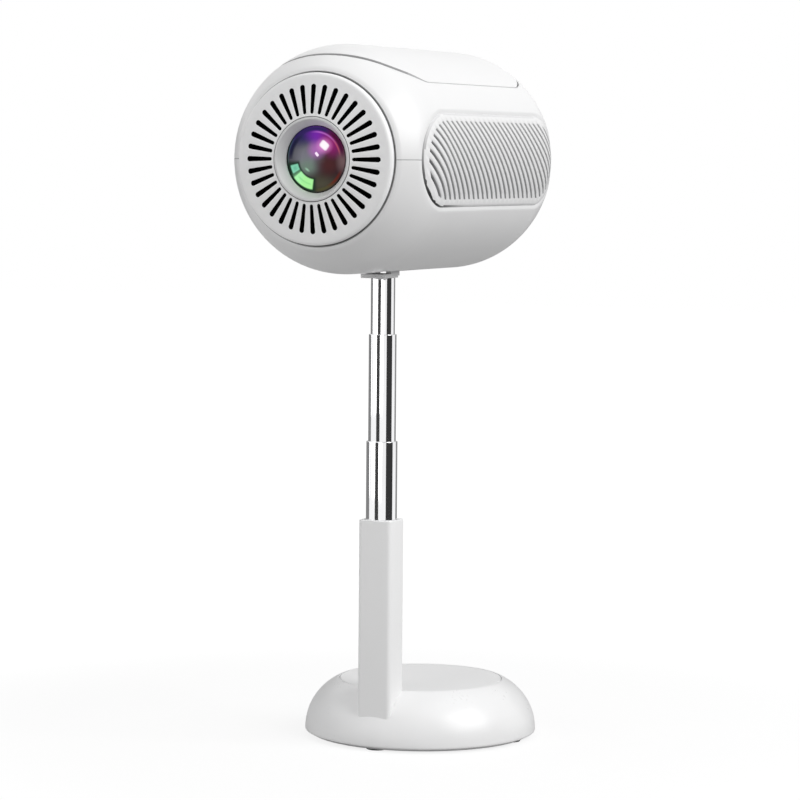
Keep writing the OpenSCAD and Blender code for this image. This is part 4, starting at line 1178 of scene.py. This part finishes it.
# %% [markdown]
# The base is a low dome on a round foot. It is turned: a wide arc from its broadest line up to the
# flat top, a short run in to the underside, and a shallow bed at the top for the plate. The post
# stands in a hole of it, so that the lowest tube can sink into the foot of the post.

# %% The base
DOME_R, DOME_MID, DOME_Z, DOME_WALL = 26.04, 28.96, 2.6, 2.4
FOOT_IN, BED_R, INNER_BED_R, HOLE_REACH, BED_PLATE = 49.9, 38.8, 37, 34, 2
dome_low, dome_high = span("base_shell", "z")
bed_z = span("base_top_plate", "z")[0]
under_z = bed_z - BED_PLATE
sweep = np.linspace(0, math.asin((dome_high - DOME_Z) / DOME_R), 40)


def dome_arc(radius, turn):
    """Points of the dome's arc, or of a smaller one round the same middle, by their angle."""
    return np.stack([DOME_MID + radius * np.cos(turn), DOME_Z + radius * np.sin(turn)], axis=1)


under = [[FOOT_IN, dome_low], [51.6, dome_low], [52.3, dome_low + 0.15], [54.3, 1.9], [54.85, 2.25]]
roof = [[BED_R, dome_high], [BED_R, bed_z], [HOLE_REACH, bed_z], [0, bed_z]]
roof += [[0, under_z], [HOLE_REACH, under_z], [INNER_BED_R, under_z]]
inside = dome_arc(DOME_R - DOME_WALL, sweep[::-1][8:])
inside = inside[inside[:, 1] < under_z]
base_outline = np.concatenate([under, dome_arc(DOME_R, sweep), roof, inside, [[FOOT_IN, DOME_Z]]])
base = Skin().grid(turned(base_outline, on_base, 192), around=True).piece("base_shell", [BASE_WHITE])

# %% [markdown]
# The hole for the post isn't round, so turning can't give it. A boolean cut could, but planes that
# split the mesh are simpler and exact: four of them outline the hole, and its walls are filled in.

# %% The hole for the post
HOLE_X, HOLE_Y, FOOT_Z, AROUND = 7.8, 6.8, 5.0, 6


def post_hole(made):
    """Cuts the post's hole: four upright planes split the faces they cross, the faces between them go,
    and an upright edge at each corner lets a wall be filled in on each plane."""
    cut = bmesh.new()
    cut.from_mesh(made.data)
    planes = ((HOLE_X, 0), (-HOLE_X, 0), (0, HOLE_Y), (0, -HOLE_Y))

    def within(grow):
        """The faces above the foot whose middle lies over the hole, grown on all sides."""
        spots = [(face, face.calc_center_median() / MM) for face in cut.faces]
        near = [(f, c) for f, c in spots if abs(c.x) < HOLE_X + grow and abs(c.y - POLE_Y) < HOLE_Y + grow]
        return [f for f, c in near if c.z > FOOT_Z]

    def lies_on(vert, x, y):
        """Whether a point lies on the plane at x or, where x is 0, on the one at y."""
        spot = vert.co / MM
        return abs(spot.x - x if x else spot.y - POLE_Y - y) < TINY

    for x, y in planes:
        parts = list({part for face in within(AROUND) for part in (face, *face.edges, *face.verts)})
        bmesh.ops.bisect_plane(cut, geom=parts, dist=1e-7, plane_co=on_pole(x, y, 0), plane_no=(x, y, 0))
    bmesh.ops.delete(cut, geom=within(0), context="FACES")
    rims = [edge for edge in cut.edges if edge.is_boundary]
    ends = {vert for edge in rims for vert in edge.verts}
    for x, _ in planes[:2]:
        for _, y in planes[2:]:
            rims.append(cut.edges.new([v for v in ends if lies_on(v, x, 0) and lies_on(v, 0, y)]))
    for x, y in planes:
        wall = [edge for edge in rims if all(lies_on(vert, x, y) for vert in edge.verts)]
        bmesh.ops.contextual_create(cut, geom=wall)
    print("rims of the post's hole:", len(rims), "open edges:", put_back(cut, made.data))


post_hole(base)

# %% [markdown]
# What remains in sight are plain moulded and stamped pieces whose solids already have the right
# form. They only lack the small rounding of every real edge, so their meshes are copied, welded,
# and given a bevel.

# %% Bevelled copies of plain pieces
FLAT = 0.002


def bevelled(node, finishes, width):
    """A welded copy of a node's mesh whose sharp edges are rounded by the given width in mm. A second
    finish, if there is one, is painted on those edges as a lighter painted highlight."""
    mesh = NODES[node].data.copy()
    mesh.materials.clear()
    made = dress(node, mesh, finishes, 30, FLAT)
    bevel = made.modifiers.new("edges", "BEVEL")
    bevel.width, bevel.segments, bevel.limit_method = width * MM, 3, "ANGLE"
    bevel.angle_limit, bevel.use_clamp_overlap = math.radians(40), True
    bevel.material = len(finishes) - 1 or -1


for node, width in (
    ("tilt_bracket", 0.3), ("rear_cover", 0.25), ("power_button", 0.4), ("feet", 0.3),
    ("base_bottom_plate", 0.3), ("tilt_washers", 0.15), ("tilt_pin", 0.2),
):
    bevelled(node, [BY_SLOT[SLOT_OF[node]]], width)
# The top plate's rounded edges are painted in the base's white as a painted highlight.
bevelled("base_top_plate", [BY_SLOT[SLOT_OF["base_top_plate"]], BASE_WHITE], 0.6)

# %% [markdown]
# The light is that of a plain product picture: a large soft box above, a strong one at the upper
# right, weaker ones in front and at the left, and a bright room all round. Lamps could be set by
# their power, but they are written by how bright they look, because that is what a surface facing
# them shows. The eye and mirrors see the room white, and it lights the object only faintly.

# %% Lamps and room


def soft_box(name, place, target, side, bright):
    """A square soft box seen as bright: its power is that brightness times pi times its area."""
    data = bpy.data.lights.new(name, "AREA")
    data.shape, data.size, data.size_y = "RECTANGLE", side, side
    data.energy = bright * math.pi * side * side
    lamp = bpy.data.objects.new(name, data)
    lamp.location = place
    lamp.rotation_euler = (Vector(target) - Vector(place)).to_track_quat("-Z", "Y").to_euler()
    lamp.visible_camera = False
    scene.collection.objects.link(lamp)


AIM = (0, 0, 0.2)
soft_box("top_box", (0.1, 0.0, 1.7), AIM, 1.8, 0.75)
soft_box("right_box", (1.65, -0.2, 1.32), AIM, 1.4, 4.95)
soft_box("front_box", (-0.7, -1.7, 0.6), AIM, 1.2, 1.6)
soft_box("left_box", (-1.8, -0.5, 0.35), AIM, 1.2, 1.9)

ROOM = 0.18
world = bpy.data.worlds.new("studio")
world.use_nodes = True
scene.world = world
room = Finish("studio", world.node_tree)
eye, mirror, through = room.rays("Camera", "Glossy", "Transmission")
direct = eye.math("MINIMUM", eye + mirror + through, 1.0)
sky = room.node("Background", {"Color": (1, 1, 1, 1), "Strength": ROOM + (1 - ROOM) * direct})
room.node("OutputWorld", {"Surface": sky})

# %% [markdown]
# The floor is pale paper that fades into the white of the room, so that only a soft shadow is left
# under the base. Chrome needs something dark to reflect, and a dark room would grey the whites. So
# a few cards stand round the pole where only reflections see them.

# %% Floor and cards
CARD_R, CARD_HIGH, FLOOR_HALF = 900.0, 420.0, 4000.0


def staged(name, points, material):
    """A mesh of one grid that belongs to the studio and not to the object."""
    mesh = Skin().grid(points).mesh(name)
    mesh.materials.append(material)
    made = bpy.data.objects.new(name, mesh)
    scene.collection.objects.link(made)
    return made


def paper(name):
    """Paper that glows white to the eye, and in mirrors only far from the base. Its distance from the
    base is squared, in square metres."""
    f = Finish(name)
    x, y, _ = f.split(f.place(shift=(0, -BASE_Y * MM, 0)))
    away = x * x + y * y
    far, horizon = f.limit(away, 0.02, 0.12), f.limit(away, 0.2, 0.9)
    eye, mirror = f.rays("Camera", "Glossy")
    dull = f.node("BsdfDiffuse", {"Color": f.mix(eye, grey(0.49), grey(0.95))})
    white = f.node("Emission", {"Color": (1, 1, 1, 1), "Strength": 1.04})
    share = eye * (0.8 + 0.2 * far) + mirror * horizon
    f.node("OutputMaterial", {"Surface": f.node("MixShader", {0: share, 1: dull, 2: white})})
    return f.material


def card(name, start, stop, level):
    """A strip of a cylinder round the pole, from one direction to another in degrees from the front
    toward the right, seen only in reflections."""
    f = Finish(name)
    glow = f.node("Emission", {"Color": (*grey(level), 1), "Strength": 1.0})
    f.node("OutputMaterial", {"Surface": glow})
    angle = np.radians(np.linspace(start, stop, 24))
    height = np.array([[0.0], [CARD_HIGH]])
    made = staged(name, on_pole(CARD_R * np.sin(angle), -CARD_R * np.cos(angle), height), f.material)
    made.visible_camera = made.visible_diffuse = made.visible_transmission = False
    made.visible_shadow = made.visible_volume_scatter = False


line = np.linspace(-FLOOR_HALF, FLOOR_HALF, 9)
staged("floor", placed(line[None, :], line[:, None], 0), paper("floor"))
card("card_front", -29, -18.6, 0.05)
card("card_right", 37, 118, 0.04)
card("card_left", -154, -61, 0.24)
card("card_back", 155, 206, 0.28)
